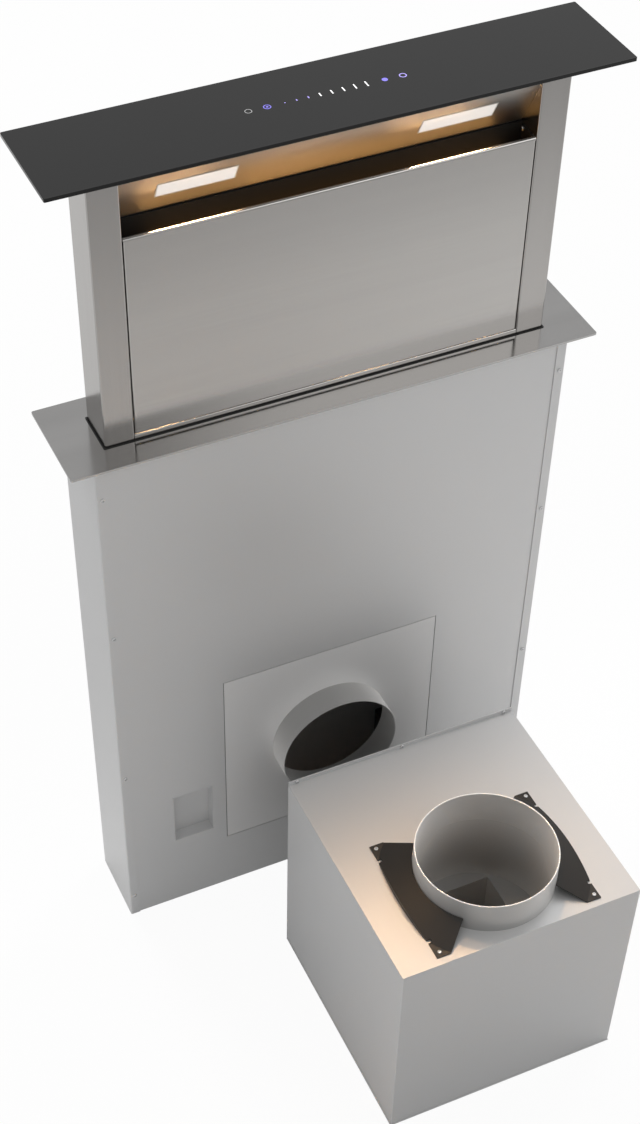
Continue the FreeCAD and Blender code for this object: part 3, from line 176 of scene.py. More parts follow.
def finish_piece(piece, body, material, replaced=(), angle=30):
    """Place in the mesh, one material, smooth shading, and a body to ride on."""
    apply_place(piece)
    face_outwards(piece)
    make_active(piece)
    bpy.ops.object.shade_smooth_by_angle(angle=math.radians(angle))
    piece.data.name = piece.name
    piece.data.materials.clear()
    piece.data.materials.append(material)
    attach(piece, body)
    if replaced:
        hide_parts(*replaced)
    print(piece.name, len(piece.data.polygons), "faces on", body)
    return piece


# %% [markdown]
# ## Shared shader groups
#
# Four effects come back in several finishes. Rolled or pressed sheet has a faint cloudiness in
# its shine. Brushed steel has fine lines that all run one way. Moulded and painted surfaces have
# a very fine grain. Zinc-coated duct gets painted light: its colour is made darker face on and
# lighter where it's seen along its surface. Each effect is built once as a node group, and each
# finish gives it its own values. The groups only work out numbers. The shader itself stays in
# the material.

# %% Helpers for shader groups


def new_group(name, inputs, outputs, placed=True):
    """An empty shader group with float sockets and, where it's placed in space, a Vector input."""
    group = bpy.data.node_groups.new(name, "ShaderNodeTree")
    if placed:
        group.interface.new_socket("Vector", in_out="INPUT", socket_type="NodeSocketVector")
    for label, value in inputs:
        socket = group.interface.new_socket(label, in_out="INPUT", socket_type="NodeSocketFloat")
        socket.default_value = value
    for label in outputs:
        group.interface.new_socket(label, in_out="OUTPUT", socket_type="NodeSocketFloat")
    return group, group.nodes.new("NodeGroupInput"), group.nodes.new("NodeGroupOutput")


def feed(tree, value, socket):
    """Give an input a number, or link another node's output to it."""
    if isinstance(value, (int, float)):
        socket.default_value = value
    else:
        tree.links.new(value, socket)


def add_math(tree, operation, first, second):
    """A math node on two inputs, each a socket or a number."""
    node = tree.nodes.new("ShaderNodeMath")
    node.operation = operation
    feed(tree, first, node.inputs[0])
    feed(tree, second, node.inputs[1])
    return node.outputs[0]


def blend(tree, value, low, high, from_low, from_high):
    """A smooth step of a value between two levels."""
    step = tree.nodes.new("ShaderNodeMapRange")
    step.interpolation_type = "SMOOTHSTEP"
    for label, level in (("Value", value), ("From Min", low), ("From Max", high),
                         ("To Min", from_low), ("To Max", from_high)):
        feed(tree, level, step.inputs[label])
    return step.outputs["Result"]


def add_noise(tree, vector, scale, detail=2.0, roughness=0.5):
    """Noise on a vector, centred on zero."""
    node = tree.nodes.new("ShaderNodeTexNoise")
    tree.links.new(vector, node.inputs["Vector"])
    node.inputs["Detail"].default_value = detail
    node.inputs["Roughness"].default_value = roughness
    feed(tree, scale, node.inputs["Scale"])
    return add_math(tree, "SUBTRACT", node.outputs["Fac"], 0.5)


def around(tree, middle, noise, amount):
    """middle + noise * amount."""
    return add_math(tree, "ADD", middle, add_math(tree, "MULTIPLY", noise, amount))


# %% Build the shader groups
cloud_group, cloud_in, cloud_out = new_group(
    "sheet_cloud", [("Scale", 6.0), ("Level", 0.5), ("Spread", 0.1)], ["Value"])
cloud = add_noise(cloud_group, cloud_in.outputs["Vector"], cloud_in.outputs["Scale"], 3.0)
cloud_value = around(cloud_group, cloud_in.outputs["Level"], cloud, cloud_in.outputs["Spread"])
cloud_group.links.new(cloud_value, cloud_out.inputs["Value"])

grain_group, grain_in, grain_out = new_group(
    "fine_grain", [("Scale", 900.0), ("Depth", 1.0)], ["Height"])
grain = add_noise(grain_group, grain_in.outputs["Vector"], grain_in.outputs["Scale"], 2.0)
grain_height = add_math(grain_group, "MULTIPLY", grain, grain_in.outputs["Depth"])
grain_group.links.new(grain_height, grain_out.inputs["Height"])

brush_group, brush_in, brush_out = new_group(
    "brushed_lines", [("Scale", 1.0), ("Level", 0.3), ("Spread", 0.1)], ["Roughness", "Height"])
fine_lines = add_noise(brush_group, brush_in.outputs["Vector"], brush_in.outputs["Scale"], 5.0, 0.7)
brush_rough = around(brush_group, brush_in.outputs["Level"], fine_lines, brush_in.outputs["Spread"])
brush_group.links.new(brush_rough, brush_out.inputs["Roughness"])
brush_group.links.new(fine_lines, brush_out.inputs["Height"])

# Painted light by viewing angle: a share of the base colour, lower face on and higher at grazing angles.
grazing_light_group, grazing_light_in, grazing_light_out = new_group(
    "painted_grazing_light", [("Facing", 0.5), ("Face On", 1.0), ("Grazing", 1.0)], ["Share"], placed=False)
grazing_light_share = blend(grazing_light_group, grazing_light_in.outputs["Facing"], 0.15, 0.9,
                   grazing_light_in.outputs["Face On"], grazing_light_in.outputs["Grazing"])
grazing_light_group.links.new(grazing_light_share, grazing_light_out.inputs["Share"])
print("shader groups:", sorted(group.name for group in bpy.data.node_groups))

# %% [markdown]
# ## Finishes
#
# The housing and the box are coated steel sheet: a satin grey that is part metal, part paint.
# The box's panels, all but its left one, are given a slightly darker tone than the housing's, and
# its front a darker one still: painted shade. The outlet plate is given a lighter one: painted
# light. The duct collars are made to look like satin zinc. The one on the box has painted light
# inside, a painted highlight along its rim, and painted shade that darkens it further down.
# The tower and the flange are brushed stainless, with the lines along the flange and the front
# panel, and up the posts. The glass is nearly black and polished. Black brackets, rubber,
# white plastic and small fasteners make up the rest. Every finish has one Principled shader.
# Numbers that are the same all over the surface are typed into its sockets, and what changes
# over the surface comes from the groups.

# %% Helpers for finishes


def new_material(name, color, roughness, metallic=0.0, **sockets):
    """A material with one Principled shader, its constant sockets set. Returns it with its tree."""
    material = bpy.data.materials.new(name)
    material.use_nodes = True
    tree = material.node_tree
    shader = tree.nodes["Principled BSDF"]
    shader.inputs["Base Color"].default_value = (*color, 1.0)
    shader.inputs["Roughness"].default_value = roughness
    shader.inputs["Metallic"].default_value = metallic
    for label, value in sockets.items():
        shader.inputs[label.replace("_", " ")].default_value = value
    return material, tree, shader


def place_group(tree, group, stretch, **values):
    """A shader group on stretched object coordinates, with its own values."""
    coordinates = tree.nodes.new("ShaderNodeTexCoord")
    mapping = tree.nodes.new("ShaderNodeMapping")
    mapping.inputs["Scale"].default_value = stretch
    tree.links.new(coordinates.outputs["Object"], mapping.inputs["Vector"])
    node = tree.nodes.new("ShaderNodeGroup")
    node.node_tree = group
    tree.links.new(mapping.outputs["Vector"], node.inputs["Vector"])
    for label, value in values.items():
        node.inputs[label].default_value = value
    return node


def add_bump(tree, shader, height, strength, distance):
    bump = tree.nodes.new("ShaderNodeBump")
    bump.inputs["Strength"].default_value = strength
    bump.inputs["Distance"].default_value = distance
    tree.links.new(height, bump.inputs["Height"])
    tree.links.new(bump.outputs["Normal"], shader.inputs["Normal"])


def tint(tree, shader, value, dark, light):
    """Base colour between two close tones, by a value that changes over the surface."""
    ramp = tree.nodes.new("ShaderNodeValToRGB")
    ramp.color_ramp.elements[0].color = (*dark, 1.0)
    ramp.color_ramp.elements[1].color = (*light, 1.0)
    tree.links.new(value, ramp.inputs["Fac"])
    tree.links.new(ramp.outputs["Color"], shader.inputs["Base Color"])


def sheet_finish(name, dark, light, roughness, metallic, grain_depth=0.25, **sockets):
    """Satin sheet: cloudy shine, two close tones and a very fine grain."""
    material, tree, shader = new_material(name, light, roughness, metallic, **sockets)
    clouds = place_group(tree, cloud_group, (1, 1, 1), Scale=5.0, Level=roughness, Spread=0.08)
    tree.links.new(clouds.outputs["Value"], shader.inputs["Roughness"])
    tones = place_group(tree, cloud_group, (1, 1, 1), Scale=2.3, Level=0.5, Spread=1.0)
    tint(tree, shader, tones.outputs["Value"], dark, light)
    grain_node = place_group(tree, grain_group, (1, 1, 1), Scale=1500.0, Depth=1.0)
    add_bump(tree, shader, grain_node.outputs["Height"], grain_depth, 0.00005)
    return material


# %% [markdown]
# The next helpers paint light and shade into a finish. They multiply its base colour by a share that
# changes with the viewing angle, with the height, or between the inside and the outside of a
# duct. A share above one is painted light, and one below it painted shade.

# %% Helpers for painted light and shade
BORE_BLEND = 0.2 * MM


def scale_color(material, value):
    """Multiply a finish's base colour by a value that changes over the surface."""
    tree = material.node_tree
    shader = tree.nodes["Principled BSDF"]
    color = shader.inputs["Base Color"].links[0].from_socket
    scale = tree.nodes.new("ShaderNodeVectorMath")
    scale.operation = "SCALE"
    tree.links.new(color, scale.inputs[0])
    tree.links.new(value, scale.inputs["Scale"])
    tree.links.new(scale.outputs["Vector"], shader.inputs["Base Color"])


def paint_grazing_light(material, face_on, grazing):
    """Painted light: darker face on, and lighter where it's seen along its surface."""
    tree = material.node_tree
    layer = tree.nodes.new("ShaderNodeLayerWeight")
    layer.inputs["Blend"].default_value = 0.5
    node = tree.nodes.new("ShaderNodeGroup")
    node.node_tree = grazing_light_group
    node.inputs["Face On"].default_value = face_on
    node.inputs["Grazing"].default_value = grazing
    tree.links.new(layer.outputs["Facing"], node.inputs["Facing"])
    scale_color(material, node.outputs["Share"])


def paint_light_and_shade_by_height(material, low, high, share_low, share_high):
    """Painted light and shade: change a finish's tone smoothly from one height to another."""
    tree = material.node_tree
    place = tree.nodes.new("ShaderNodeTexCoord")
    height = tree.nodes.new("ShaderNodeSeparateXYZ")
    tree.links.new(place.outputs["Object"], height.inputs["Vector"])
    scale_color(material, blend(tree, height.outputs["Z"], low, high, share_low, share_high))


def paint_bore_light(material, axis, radius, share):
    """Painted light inside an upright duct: scale the tone of all that is nearer its axis than a radius."""
    tree = material.node_tree
    place = tree.nodes.new("ShaderNodeTexCoord")
    level = tree.nodes.new("ShaderNodeVectorMath")
    level.operation = "MULTIPLY"
    level.inputs[1].default_value = (1, 1, 0)
    reach = tree.nodes.new("ShaderNodeVectorMath")
    reach.operation = "DISTANCE"
    reach.inputs[1].default_value = (axis.x, axis.y, 0)
    tree.links.new(place.outputs["Object"], level.inputs[0])
    tree.links.new(level.outputs["Vector"], reach.inputs[0])
    inside = blend(tree, reach.outputs["Value"], radius - BORE_BLEND, radius + BORE_BLEND, share, 1.0)
    scale_color(material, inside)


# %% Helper for brushed steel


def brushed_finish(name, stretch, dark, light, roughness, spread=0.16, **sockets):
    """Brushed steel: long fine lines in its shine and its surface, along one direction."""
    material, tree, shader = new_material(name, light, roughness, 1.0, **sockets)
    lines = place_group(tree, brush_group, stretch, Scale=1.0, Level=roughness, Spread=spread)
    tree.links.new(lines.outputs["Roughness"], shader.inputs["Roughness"])
    wide = tuple(share * 0.02 for share in stretch)
    tones = place_group(tree, cloud_group, wide, Scale=1.0, Level=0.5, Spread=1.4)
    tint(tree, shader, tones.outputs["Value"], dark, light)
    add_bump(tree, shader, lines.outputs["Height"], 0.12, 0.00004)
    return material


# %% Sheet, steel and glass
coated = sheet_finish("coated_grey_sheet", (0.65, 0.65, 0.65), (0.69, 0.69, 0.69), 0.42, 0.45)
# Painted shade and light: the box's panels are darker copies of the housing's sheet, its front darker still,
# and the outlet plate a lighter copy.
shaded_box_sheet = sheet_finish("box_shaded_grey_sheet", (0.59, 0.59, 0.59), (0.63, 0.63, 0.63), 0.42, 0.45)
shaded_front_sheet = sheet_finish("box_front_shaded_sheet", (0.55, 0.55, 0.55), (0.59, 0.59, 0.59), 0.42, 0.45)
lit_plate_sheet = sheet_finish("plate_lit_grey_sheet", (0.74, 0.735, 0.73), (0.78, 0.775, 0.77), 0.42, 0.25)
duct_metal = sheet_finish("duct_sheet", (0.50, 0.495, 0.485), (0.55, 0.545, 0.535), 0.36, 0.45)
drum_metal = sheet_finish("drum_sheet", (0.49, 0.485, 0.475), (0.54, 0.535, 0.525), 0.36, 0.40)
# Painted light on both duct finishes: darker face on, lighter where seen along the surface.
for metal in (duct_metal, drum_metal):
    paint_grazing_light(metal, 0.72, 1.7)
outlet_low, outlet_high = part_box("outlet_collar")
outlet_middle = (outlet_low + outlet_high) / 2
OUTLET_RADIUS = 80 * MM
OUTLET_WALL = 1.5 * MM
DARK_DEPTH, LIGHT_DEPTH = 0.215, 0.33
RIM_FOOT, RIM_TOP = outlet_high.z - 0.7 * MM, outlet_high.z - 0.4 * MM
# Painted light inside the bore, painted shade that darkens the drum deeper down, and a painted highlight
# along the top of the rim.
paint_bore_light(drum_metal, outlet_middle, OUTLET_RADIUS - OUTLET_WALL / 2, 1.75)
paint_light_and_shade_by_height(drum_metal, DARK_DEPTH, LIGHT_DEPTH, 0.5, 1.0)
paint_light_and_shade_by_height(drum_metal, RIM_FOOT, RIM_TOP, 1.0, 1.9)
steel_along = brushed_finish("brushed_along", (6, 900, 900), (0.49, 0.475, 0.46), (0.54, 0.525, 0.505), 0.20)
steel_up = brushed_finish("brushed_upright", (900, 900, 6), (0.43, 0.415, 0.40), (0.48, 0.465, 0.45), 0.20)
flange_steel = brushed_finish("flange_brushed", (6, 900, 900), (0.40, 0.395, 0.39), (0.46, 0.455, 0.45), 0.16)
lamp_steel = brushed_finish("lamp_brushed", (6, 900, 900), (0.44, 0.43, 0.41), (0.50, 0.485, 0.47), 0.36)
zinc = sheet_finish("zinc_plate", (0.42, 0.42, 0.43), (0.52, 0.52, 0.53), 0.35, 1.0)
fastener = sheet_finish("bright_fastener", (0.60, 0.60, 0.60), (0.72, 0.72, 0.72), 0.25, 1.0)
black_sheet = sheet_finish("black_bracket_sheet", (0.020, 0.018, 0.016), (0.032, 0.029, 0.026), 0.40, 0.3)
black_glass = sheet_finish("black_glass", (0.006, 0.006, 0.006), (0.008, 0.008, 0.008), 0.08, 0.0, 0.01,
                           Specular_IOR_Level=0.43)
# Near black: painted shade on the filter rails in the air slot, and the dark joint behind the outlet plate.
shade_and_joint_black = sheet_finish("matt_black_shade_and_joint", (0.003, 0.003, 0.003), (0.005, 0.005, 0.005), 0.7, 0.0, 0.5)
rubber = sheet_finish("seal_rubber", (0.010, 0.010, 0.010), (0.016, 0.016, 0.016), 0.65, 0.0, 0.5)
black_plastic = sheet_finish("black_plastic", (0.018, 0.018, 0.020), (0.026, 0.026, 0.028), 0.5, 0.0, 0.6)
white_plastic = sheet_finish("white_plastic", (0.70, 0.69, 0.65), (0.78, 0.77, 0.73), 0.42, 0.0, 0.4)
bronze = sheet_finish("sintered_bronze", (0.42, 0.27, 0.13), (0.50, 0.33, 0.17), 0.38, 1.0)
motor_paint = sheet_finish("motor_paint", (0.06, 0.062, 0.066), (0.08, 0.083, 0.088), 0.42, 0.2)
aluminium = sheet_finish("anodised_frame", (0.55, 0.56, 0.57), (0.66, 0.67, 0.68), 0.38, 1.0)
board = sheet_finish("lamp_board", (0.60, 0.60, 0.58), (0.66, 0.66, 0.64), 0.5, 0.0)
print("finishes:", len(bpy.data.materials))

# %% [markdown]
# The filter pads are layers of expanded metal. From outside it reads as a fine diamond mesh, so
# two sets of crossed wave bands make the strands, and the bands also raise the surface.

# %% Filter mesh
filter_mesh, mesh_tree, mesh_shader = new_material("expanded_mesh", (0.40, 0.41, 0.42), 0.4, 1.0)
strand_sets = []
for turn in (45, -45):
    coordinates = mesh_tree.nodes.new("ShaderNodeTexCoord")
    mapping = mesh_tree.nodes.new("ShaderNodeMapping")
    mapping.inputs["Rotation"].default_value = (0, math.radians(turn), 0)
    bands = mesh_tree.nodes.new("ShaderNodeTexWave")
    bands.inputs["Scale"].default_value = 90.0
    mesh_tree.links.new(coordinates.outputs["Object"], mapping.inputs["Vector"])
    mesh_tree.links.new(mapping.outputs["Vector"], bands.inputs["Vector"])
    strand_sets.append(bands.outputs["Fac"])
strands = add_math(mesh_tree, "MAXIMUM", *strand_sets)
tint(mesh_tree, mesh_shader, strands, (0.03, 0.03, 0.03), (0.55, 0.56, 0.57))
add_bump(mesh_tree, mesh_shader, strands, 0.8, 0.0006)
print("mesh finish:", filter_mesh.name)

# %% [markdown]
# The lamps are flat diffusers. A real diffuser glows evenly with a slightly brighter middle, and
# the marks on the glass are printed and lit from behind. Both get a little emission, low enough
# that they render near white instead of clipping.

# %% Glowing finishes


def glow_finish(name, color, strength, base=(0.8, 0.8, 0.8)):
    material, tree, shader = new_material(name, base, 0.35)
    shader.inputs["Emission Color"].default_value = (*color, 1.0)
    shader.inputs["Emission Strength"].default_value = strength
    return material


lamp_glow = glow_finish("lamp_diffuser", (1.0, 0.97, 0.93), 0.68, (0.20, 0.19, 0.18))
mark_white = glow_finish("mark_white", (1.0, 1.0, 1.0), 0.75)
mark_grey = glow_finish("mark_grey", (0.6, 0.6, 0.6), 0.28, (0.3, 0.3, 0.3))
mark_blue = glow_finish("mark_blue", (0.28, 0.24, 0.95), 0.55, (0.15, 0.13, 0.5))
mark_violet = glow_finish("mark_violet", (0.42, 0.36, 0.90), 0.60, (0.3, 0.25, 0.6))
print("finishes:", len(bpy.data.materials))

# %% [markdown]
# ## Dressing the measured nodes
#
# Most of the measured sheet parts have the right shape already, so they only need their finish.

# %% Give every node its finish
FINISH_OF = {
    coated: ["left_side_panel", "right_side_panel", "front_cover", "back_panel", "bottom_pan", "top_rails",
             "connection_recess", "box_left_panel"],
    shaded_box_sheet: ["box_top_panel", "box_right_panel", "box_bottom_panel", "box_rear_frame"],
    shaded_front_sheet: ["box_front_panel"],
    lit_plate_sheet: ["outlet_plate"],
    duct_metal: ["duct_collar", "outlet_collar", "inlet_ring", "blower_wheel"],
    drum_metal: ["outlet_transition", "fan_scroll"],
    flange_steel: ["worktop_flange"],
    steel_along: ["front_panel", "front_apron", "tower_back_panel"],
    steel_up: ["left_post", "right_post"],
    lamp_steel: ["lamp_panel"],
    zinc: ["lower_cross_bars", "glass_carrier", "guide_rails", "motor_spider"],
    fastener: ["cover_screws", "box_screws", "catch_screws", "panel_studs", "cross_shaft"],
    black_sheet: ["left_collar_bracket", "right_collar_bracket", "panel_catches"],
    shade_and_joint_black: ["filter_rails", "plate_backing_frame"],
    rubber: ["wiper_seal"],
    black_plastic: ["control_box", "mains_gland", "touch_module"],
    white_plastic: ["lift_racks", "pinions", "guide_shoes", "lamp_bezels", "run_capacitor"],
    bronze: ["shaft_bushes"],
    motor_paint: ["lift_gearmotor", "fan_motor"],
    lamp_glow: ["lamp_lenses"],
    board: ["lamp_boards"],
    black_glass: ["glass_top"],
    aluminium: ["left_filter_frame", "right_filter_frame"],
    filter_mesh: ["left_filter_mesh", "right_filter_mesh"],
}
for material, names in FINISH_OF.items():
    for name in names:
        nodes[name].data.materials.clear()
        nodes[name].data.materials.append(material)
dressed = {name for names in FINISH_OF.values() for name in names}
print("dressed", len(dressed), "left", sorted(set(nodes) - dressed))

# %% [markdown]
# ## The duct collars
#
# Both collars are drawn from flat sheet and rolled, with a flange behind the panel. A circle is
# extruded into a tube, its lower edge is scaled outwards into the flange, and Solidify gives the
# wall its thickness. A small bevel rounds the rim, which catches the light.

# %% Roll the two collars


def roll_collar(name, node, radius, wall, flange, axis, body):
    """A flanged tube of the same size as its node. axis is 'Z' for up, or 'Y' for the front."""
    low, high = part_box(node)
    middle = (low + high) / 2
    length = (high.z - low.z) if axis == "Z" else (high.y - low.y)
    deselect_all()
    bpy.ops.mesh.primitive_circle_add(vertices=160, radius=radius, location=(0, 0, wall / 2))
    collar = bpy.context.object
    collar.name = name
    apply_place(collar)
    pick(collar, "EDGE", lambda place, way: True)
    bpy.ops.mesh.extrude_region_move(TRANSFORM_OT_translate={"value": (0, 0, length - wall / 2)})
    pick(collar, "EDGE", lambda place, way: place.z < wall)
    bpy.ops.mesh.extrude_region_move()
    share = (radius + flange) / radius
    bpy.ops.transform.resize(value=(share, share, 1), center_override=(0, 0, wall / 2))
    bpy.ops.object.mode_set(mode="OBJECT")
    face_outwards(collar)
    apply_modifier(collar, "SOLIDIFY", thickness=wall, offset=-1, use_even_offset=True)
    apply_modifier(collar, "BEVEL", width=wall * 0.3, segments=3, limit_method="ANGLE",
                   angle_limit=math.radians(50))
    if axis == "Y":
        collar.rotation_euler = (math.radians(90), 0, 0)
        collar.location = (middle.x, high.y, middle.z)
    else:
        collar.location = (middle.x, middle.y, low.z)
    return finish_piece(collar, body, drum_metal if axis == "Z" else duct_metal, [node])


roll_collar("rolled_outlet_collar", "outlet_collar", radius=OUTLET_RADIUS, wall=OUTLET_WALL,
            flange=9 * MM, axis="Z", body="blower_box")
roll_collar("rolled_duct_collar", "duct_collar", radius=75 * MM, wall=1.2 * MM,
            flange=11 * MM, axis="Y", body="housing")

# %% [markdown]
# ## The glass top
#
# Toughened glass is ground to size and its edges are polished to a small rounded arris. A block
# of the measured size is bevelled twice: its upright corners first, and then every edge.

# %% Cut and polish the glass
GLASS_CORNER = 1.5 * MM
GLASS_ARRIS = 0.5 * MM
glass_low, glass_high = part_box("glass_top")
glass = start_block("polished_glass", glass_low, glass_high)
pick(glass, "EDGE", lambda place, way: abs(way.z) > 0.9)
bpy.ops.mesh.bevel(offset=GLASS_CORNER, segments=6)
bpy.ops.object.mode_set(mode="OBJECT")
apply_modifier(glass, "BEVEL", width=GLASS_ARRIS, segments=3, limit_method="ANGLE",
               angle_limit=math.radians(50))
finish_piece(glass, "tower", black_glass, ["glass_top"], angle=10)

# %% [markdown]
# The touch marks are printed on the glass: a small clock ring, a ring, a row of bars that grow
# from left to right, a disc and another ring. They are flat pads a few hundredths of a
# millimetre high. Each bar is shaped the same way at its own length, and each ring is a circle
# that is extruded inwards and given its thickness.

# %% Print the touch marks
MARK_LINE = 1.2 * MM
MARK_RISE = 0.04 * MM
MARK_TOP = glass_high.z + MARK_RISE
BAR_STEP = 12 * MM
BAR_COUNT = 8
SMALL_BARS = 3
BAR_HALF_WIDTH = 0.6 * MM
BAR_CORNER = 0.3 * MM


def bar_mark(index):
    """One bar of the row: the first ones are small and violet, the others long and white."""
    x = (index - (BAR_COUNT - 1) / 2) * BAR_STEP
    small = index < SMALL_BARS
    half_length = (0.7 + 0.5 * index if small else 2.8 + 0.4 * (index - SMALL_BARS)) * MM
    bar = start_block(f"touch_bar_{index + 1}", (x - BAR_HALF_WIDTH, MARK_LINE - half_length, glass_high.z),
                      (x + BAR_HALF_WIDTH, MARK_LINE + half_length, MARK_TOP))
    pick(bar, "EDGE", lambda place, way: abs(way.z) > 0.9)
    bpy.ops.mesh.bevel(offset=BAR_CORNER, segments=3)
    bpy.ops.object.mode_set(mode="OBJECT")
    return finish_piece(bar, "tower", mark_violet if small else mark_white)


def round_mark(name, x, outer, inner, material):
    """A ring, or a disc where inner is zero."""
    deselect_all()
    bpy.ops.mesh.primitive_circle_add(vertices=40, radius=outer, fill_type="NGON",
                                      location=(x, MARK_LINE, glass_high.z))
    mark = bpy.context.object
    mark.name = name
    apply_place(mark)
    pick(mark, "FACE", lambda place, normal: True)
    if inner > 0:
        bpy.ops.mesh.inset(thickness=outer - inner)
        bpy.ops.mesh.delete(type="FACE")
    bpy.ops.object.mode_set(mode="OBJECT")
    apply_modifier(mark, "SOLIDIFY", thickness=MARK_RISE, offset=1)
    return finish_piece(mark, "tower", material)


for bar_index in range(BAR_COUNT):
    bar_mark(bar_index)
round_mark("touch_clock", x=-79 * MM, outer=3.6 * MM, inner=2.9 * MM, material=mark_grey)
round_mark("touch_ring_left", x=-60 * MM, outer=3.8 * MM, inner=2.9 * MM, material=mark_blue)
round_mark("touch_dot_left", x=-60 * MM, outer=1.2 * MM, inner=0.0, material=mark_blue)
round_mark("touch_disc_right", x=61 * MM, outer=3.0 * MM, inner=0.0, material=mark_blue)
round_mark("touch_ring_right", x=80 * MM, outer=3.8 * MM, inner=2.7 * MM, material=mark_violet)

# %% [markdown]
# ## Screws
#
# Every visible screw is a pan head with a cross recess. One head is made with care: a short
# cylinder whose top edge is rounded, and a cross pressed into it. It is then copied to each
# place, and the copies of one group become one piece.

# %% Make one screw head
HEAD_RADIUS = 2.5 * MM
HEAD_HEIGHT = 1.6 * MM


def pan_head(radius, height):
    """A pan head that stands on z = 0, with a cross recess."""
    deselect_all()
    bpy.ops.mesh.primitive_cylinder_add(vertices=32, radius=radius, depth=height,
                                        location=(0, 0, height / 2))
    head = bpy.context.object
    apply_place(head)
    pick(head, "EDGE", lambda place, way: place.z > height * 0.9)
    bpy.ops.mesh.bevel(offset=height * 0.6, segments=5)
    bpy.ops.object.mode_set(mode="OBJECT")
    for turn in (0, 90):
        deselect_all()
        bpy.ops.mesh.primitive_cube_add(size=1, location=(0, 0, height))
        blade = bpy.context.object
        blade.dimensions = (radius * 1.1, radius * 0.3, height * 0.9)
        blade.rotation_euler = (0, 0, math.radians(turn + 15))
        apply_place(blade)
        apply_modifier(head, "BOOLEAN", object=blade, operation="DIFFERENCE", solver="EXACT")
        bpy.data.objects.remove(blade)
    return head


def place_heads(name, pattern, places, body, replaced):
    """Copies of a head at (point, direction) places, joined into one piece."""
    copies = []
    for point, way in places:
        copy = pattern.copy()
        copy.data = pattern.data.copy()
        scene.collection.objects.link(copy)
        copy.location = point
        copy.rotation_euler = Vector(way).to_track_quat("Z", "Y").to_euler()
        apply_place(copy)
        copies.append(copy)
    deselect_all()
    for copy in copies:
        copy.select_set(True)
    bpy.context.view_layer.objects.active = copies[0]
    bpy.ops.object.join()
    copies[0].name = name
    return finish_piece(copies[0], body, fastener, replaced)


# %% Place the screw heads
COVER_HEIGHTS = (36, 260, 493, 692.5)
COVER_INSET = 6.4 * MM
housing_low, housing_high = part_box("right_side_panel")
cover_places = []
for side in (-1, 1):
    for height in COVER_HEIGHTS:
        x = side * (housing_high.x - COVER_INSET)
        cover_places.append(((x, housing_low.y, height * MM), (0, -1, 0)))
        cover_places.append(((x, housing_high.y, height * MM), (0, 1, 0)))
head_pattern = pan_head(HEAD_RADIUS, HEAD_HEIGHT)
place_heads("cover_screw_heads", head_pattern, cover_places, "housing", ["cover_screws"])

BRACKET_SHEET = 1.5 * MM
BRACKET_REACH = 95 * MM
BRACKET_SPREAD = 77 * MM
bracket_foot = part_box("right_collar_bracket")[0].z
box_places = []
for side in (-1, 1):
    for end in (-1, 1):
        x = outlet_middle.x + side * BRACKET_REACH
        y = outlet_middle.y + end * BRACKET_SPREAD
        box_places.append(((x, y, bracket_foot + BRACKET_SHEET), (0, 0, 1)))

STRIP_STEP = 134.6 * MM
STRIP_SHEET = 1.2 * MM
STRIP_DROP = 2.6 * MM
strip_low, strip_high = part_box("box_rear_frame")
for step in (-1, 0, 1):
    x = (strip_low.x + strip_high.x) / 2 + step * STRIP_STEP
    box_places.append(((x, strip_high.y - STRIP_SHEET, strip_high.z - STRIP_DROP), (0, -1, 0)))
place_heads("box_screw_heads", head_pattern, box_places, "blower_box", ["box_screws"])
bpy.data.objects.remove(head_pattern)

# %% [markdown]
# ## Floor, world and light
#
# A catalogue picture stands its object on white. The floor is a large pale plane. It and the
# world are white to the camera, a little darker in reflections, and they light the object with a
# lower strength still. A large soft lamp hangs high behind the object, so that level metal
# shines, and a smaller one stands at the front. Upright metal mirrors the floor, whose colour is
# painted darker towards the camera and behind the object: painted shade that shows in those
# reflections. Two more lamps light the right side and the back. They're left out of reflections,
# where they would leave hot spots.

# %% Floor
FLOOR_SIZE = 30.0
FLOOR_SEEN = 0.95
FLOOR_MIRRORED = 0.1
FLOOR_TONE, NEAR_TONE, BACK_SHARE = 0.82, 0.42, 0.72
FRONT_FADE = (-1.7, -1.0)
BACK_FADE = (-0.1, 0.4)
deselect_all()
bpy.ops.mesh.primitive_plane_add(size=FLOOR_SIZE, location=(0, 0, -0.0005))
floor = bpy.context.object
floor.name = "floor"
floor_material, floor_tree, floor_shader = new_material("pale_floor", (0.80, 0.80, 0.80), 0.9)
floor_shader.inputs["Specular IOR Level"].default_value = 0.0
floor_place = floor_tree.nodes.new("ShaderNodeTexCoord")
floor_axes = floor_tree.nodes.new("ShaderNodeSeparateXYZ")
floor_tree.links.new(floor_place.outputs["Object"], floor_axes.inputs["Vector"])
# Painted shade: the floor's colour is darker towards the camera and behind the object.
floor_front_shade = blend(floor_tree, floor_axes.outputs["Y"], *FRONT_FADE, NEAR_TONE, FLOOR_TONE)
floor_back_shade = blend(floor_tree, floor_axes.outputs["Y"], *BACK_FADE, 1.0, BACK_SHARE)
floor_tone = add_math(floor_tree, "MULTIPLY", floor_front_shade, floor_back_shade)
floor_tree.links.new(floor_tone, floor_shader.inputs["Base Color"])
floor_glow = floor_tree.nodes.new("ShaderNodeEmission")
floor_glow.inputs["Strength"].default_value = 1.0
floor_mix = floor_tree.nodes.new("ShaderNodeMixShader")
floor_path = floor_tree.nodes.new("ShaderNodeLightPath")
floor_mirrored = add_math(floor_tree, "MAXIMUM", floor_path.outputs["Is Glossy Ray"],
                          floor_path.outputs["Is Transmission Ray"])
floor_share = add_math(floor_tree, "ADD", add_math(floor_tree, "MULTIPLY", floor_mirrored, FLOOR_MIRRORED),
                       add_math(floor_tree, "MULTIPLY", floor_path.outputs["Is Camera Ray"], FLOOR_SEEN))
floor_tree.links.new(floor_share, floor_mix.inputs["Fac"])
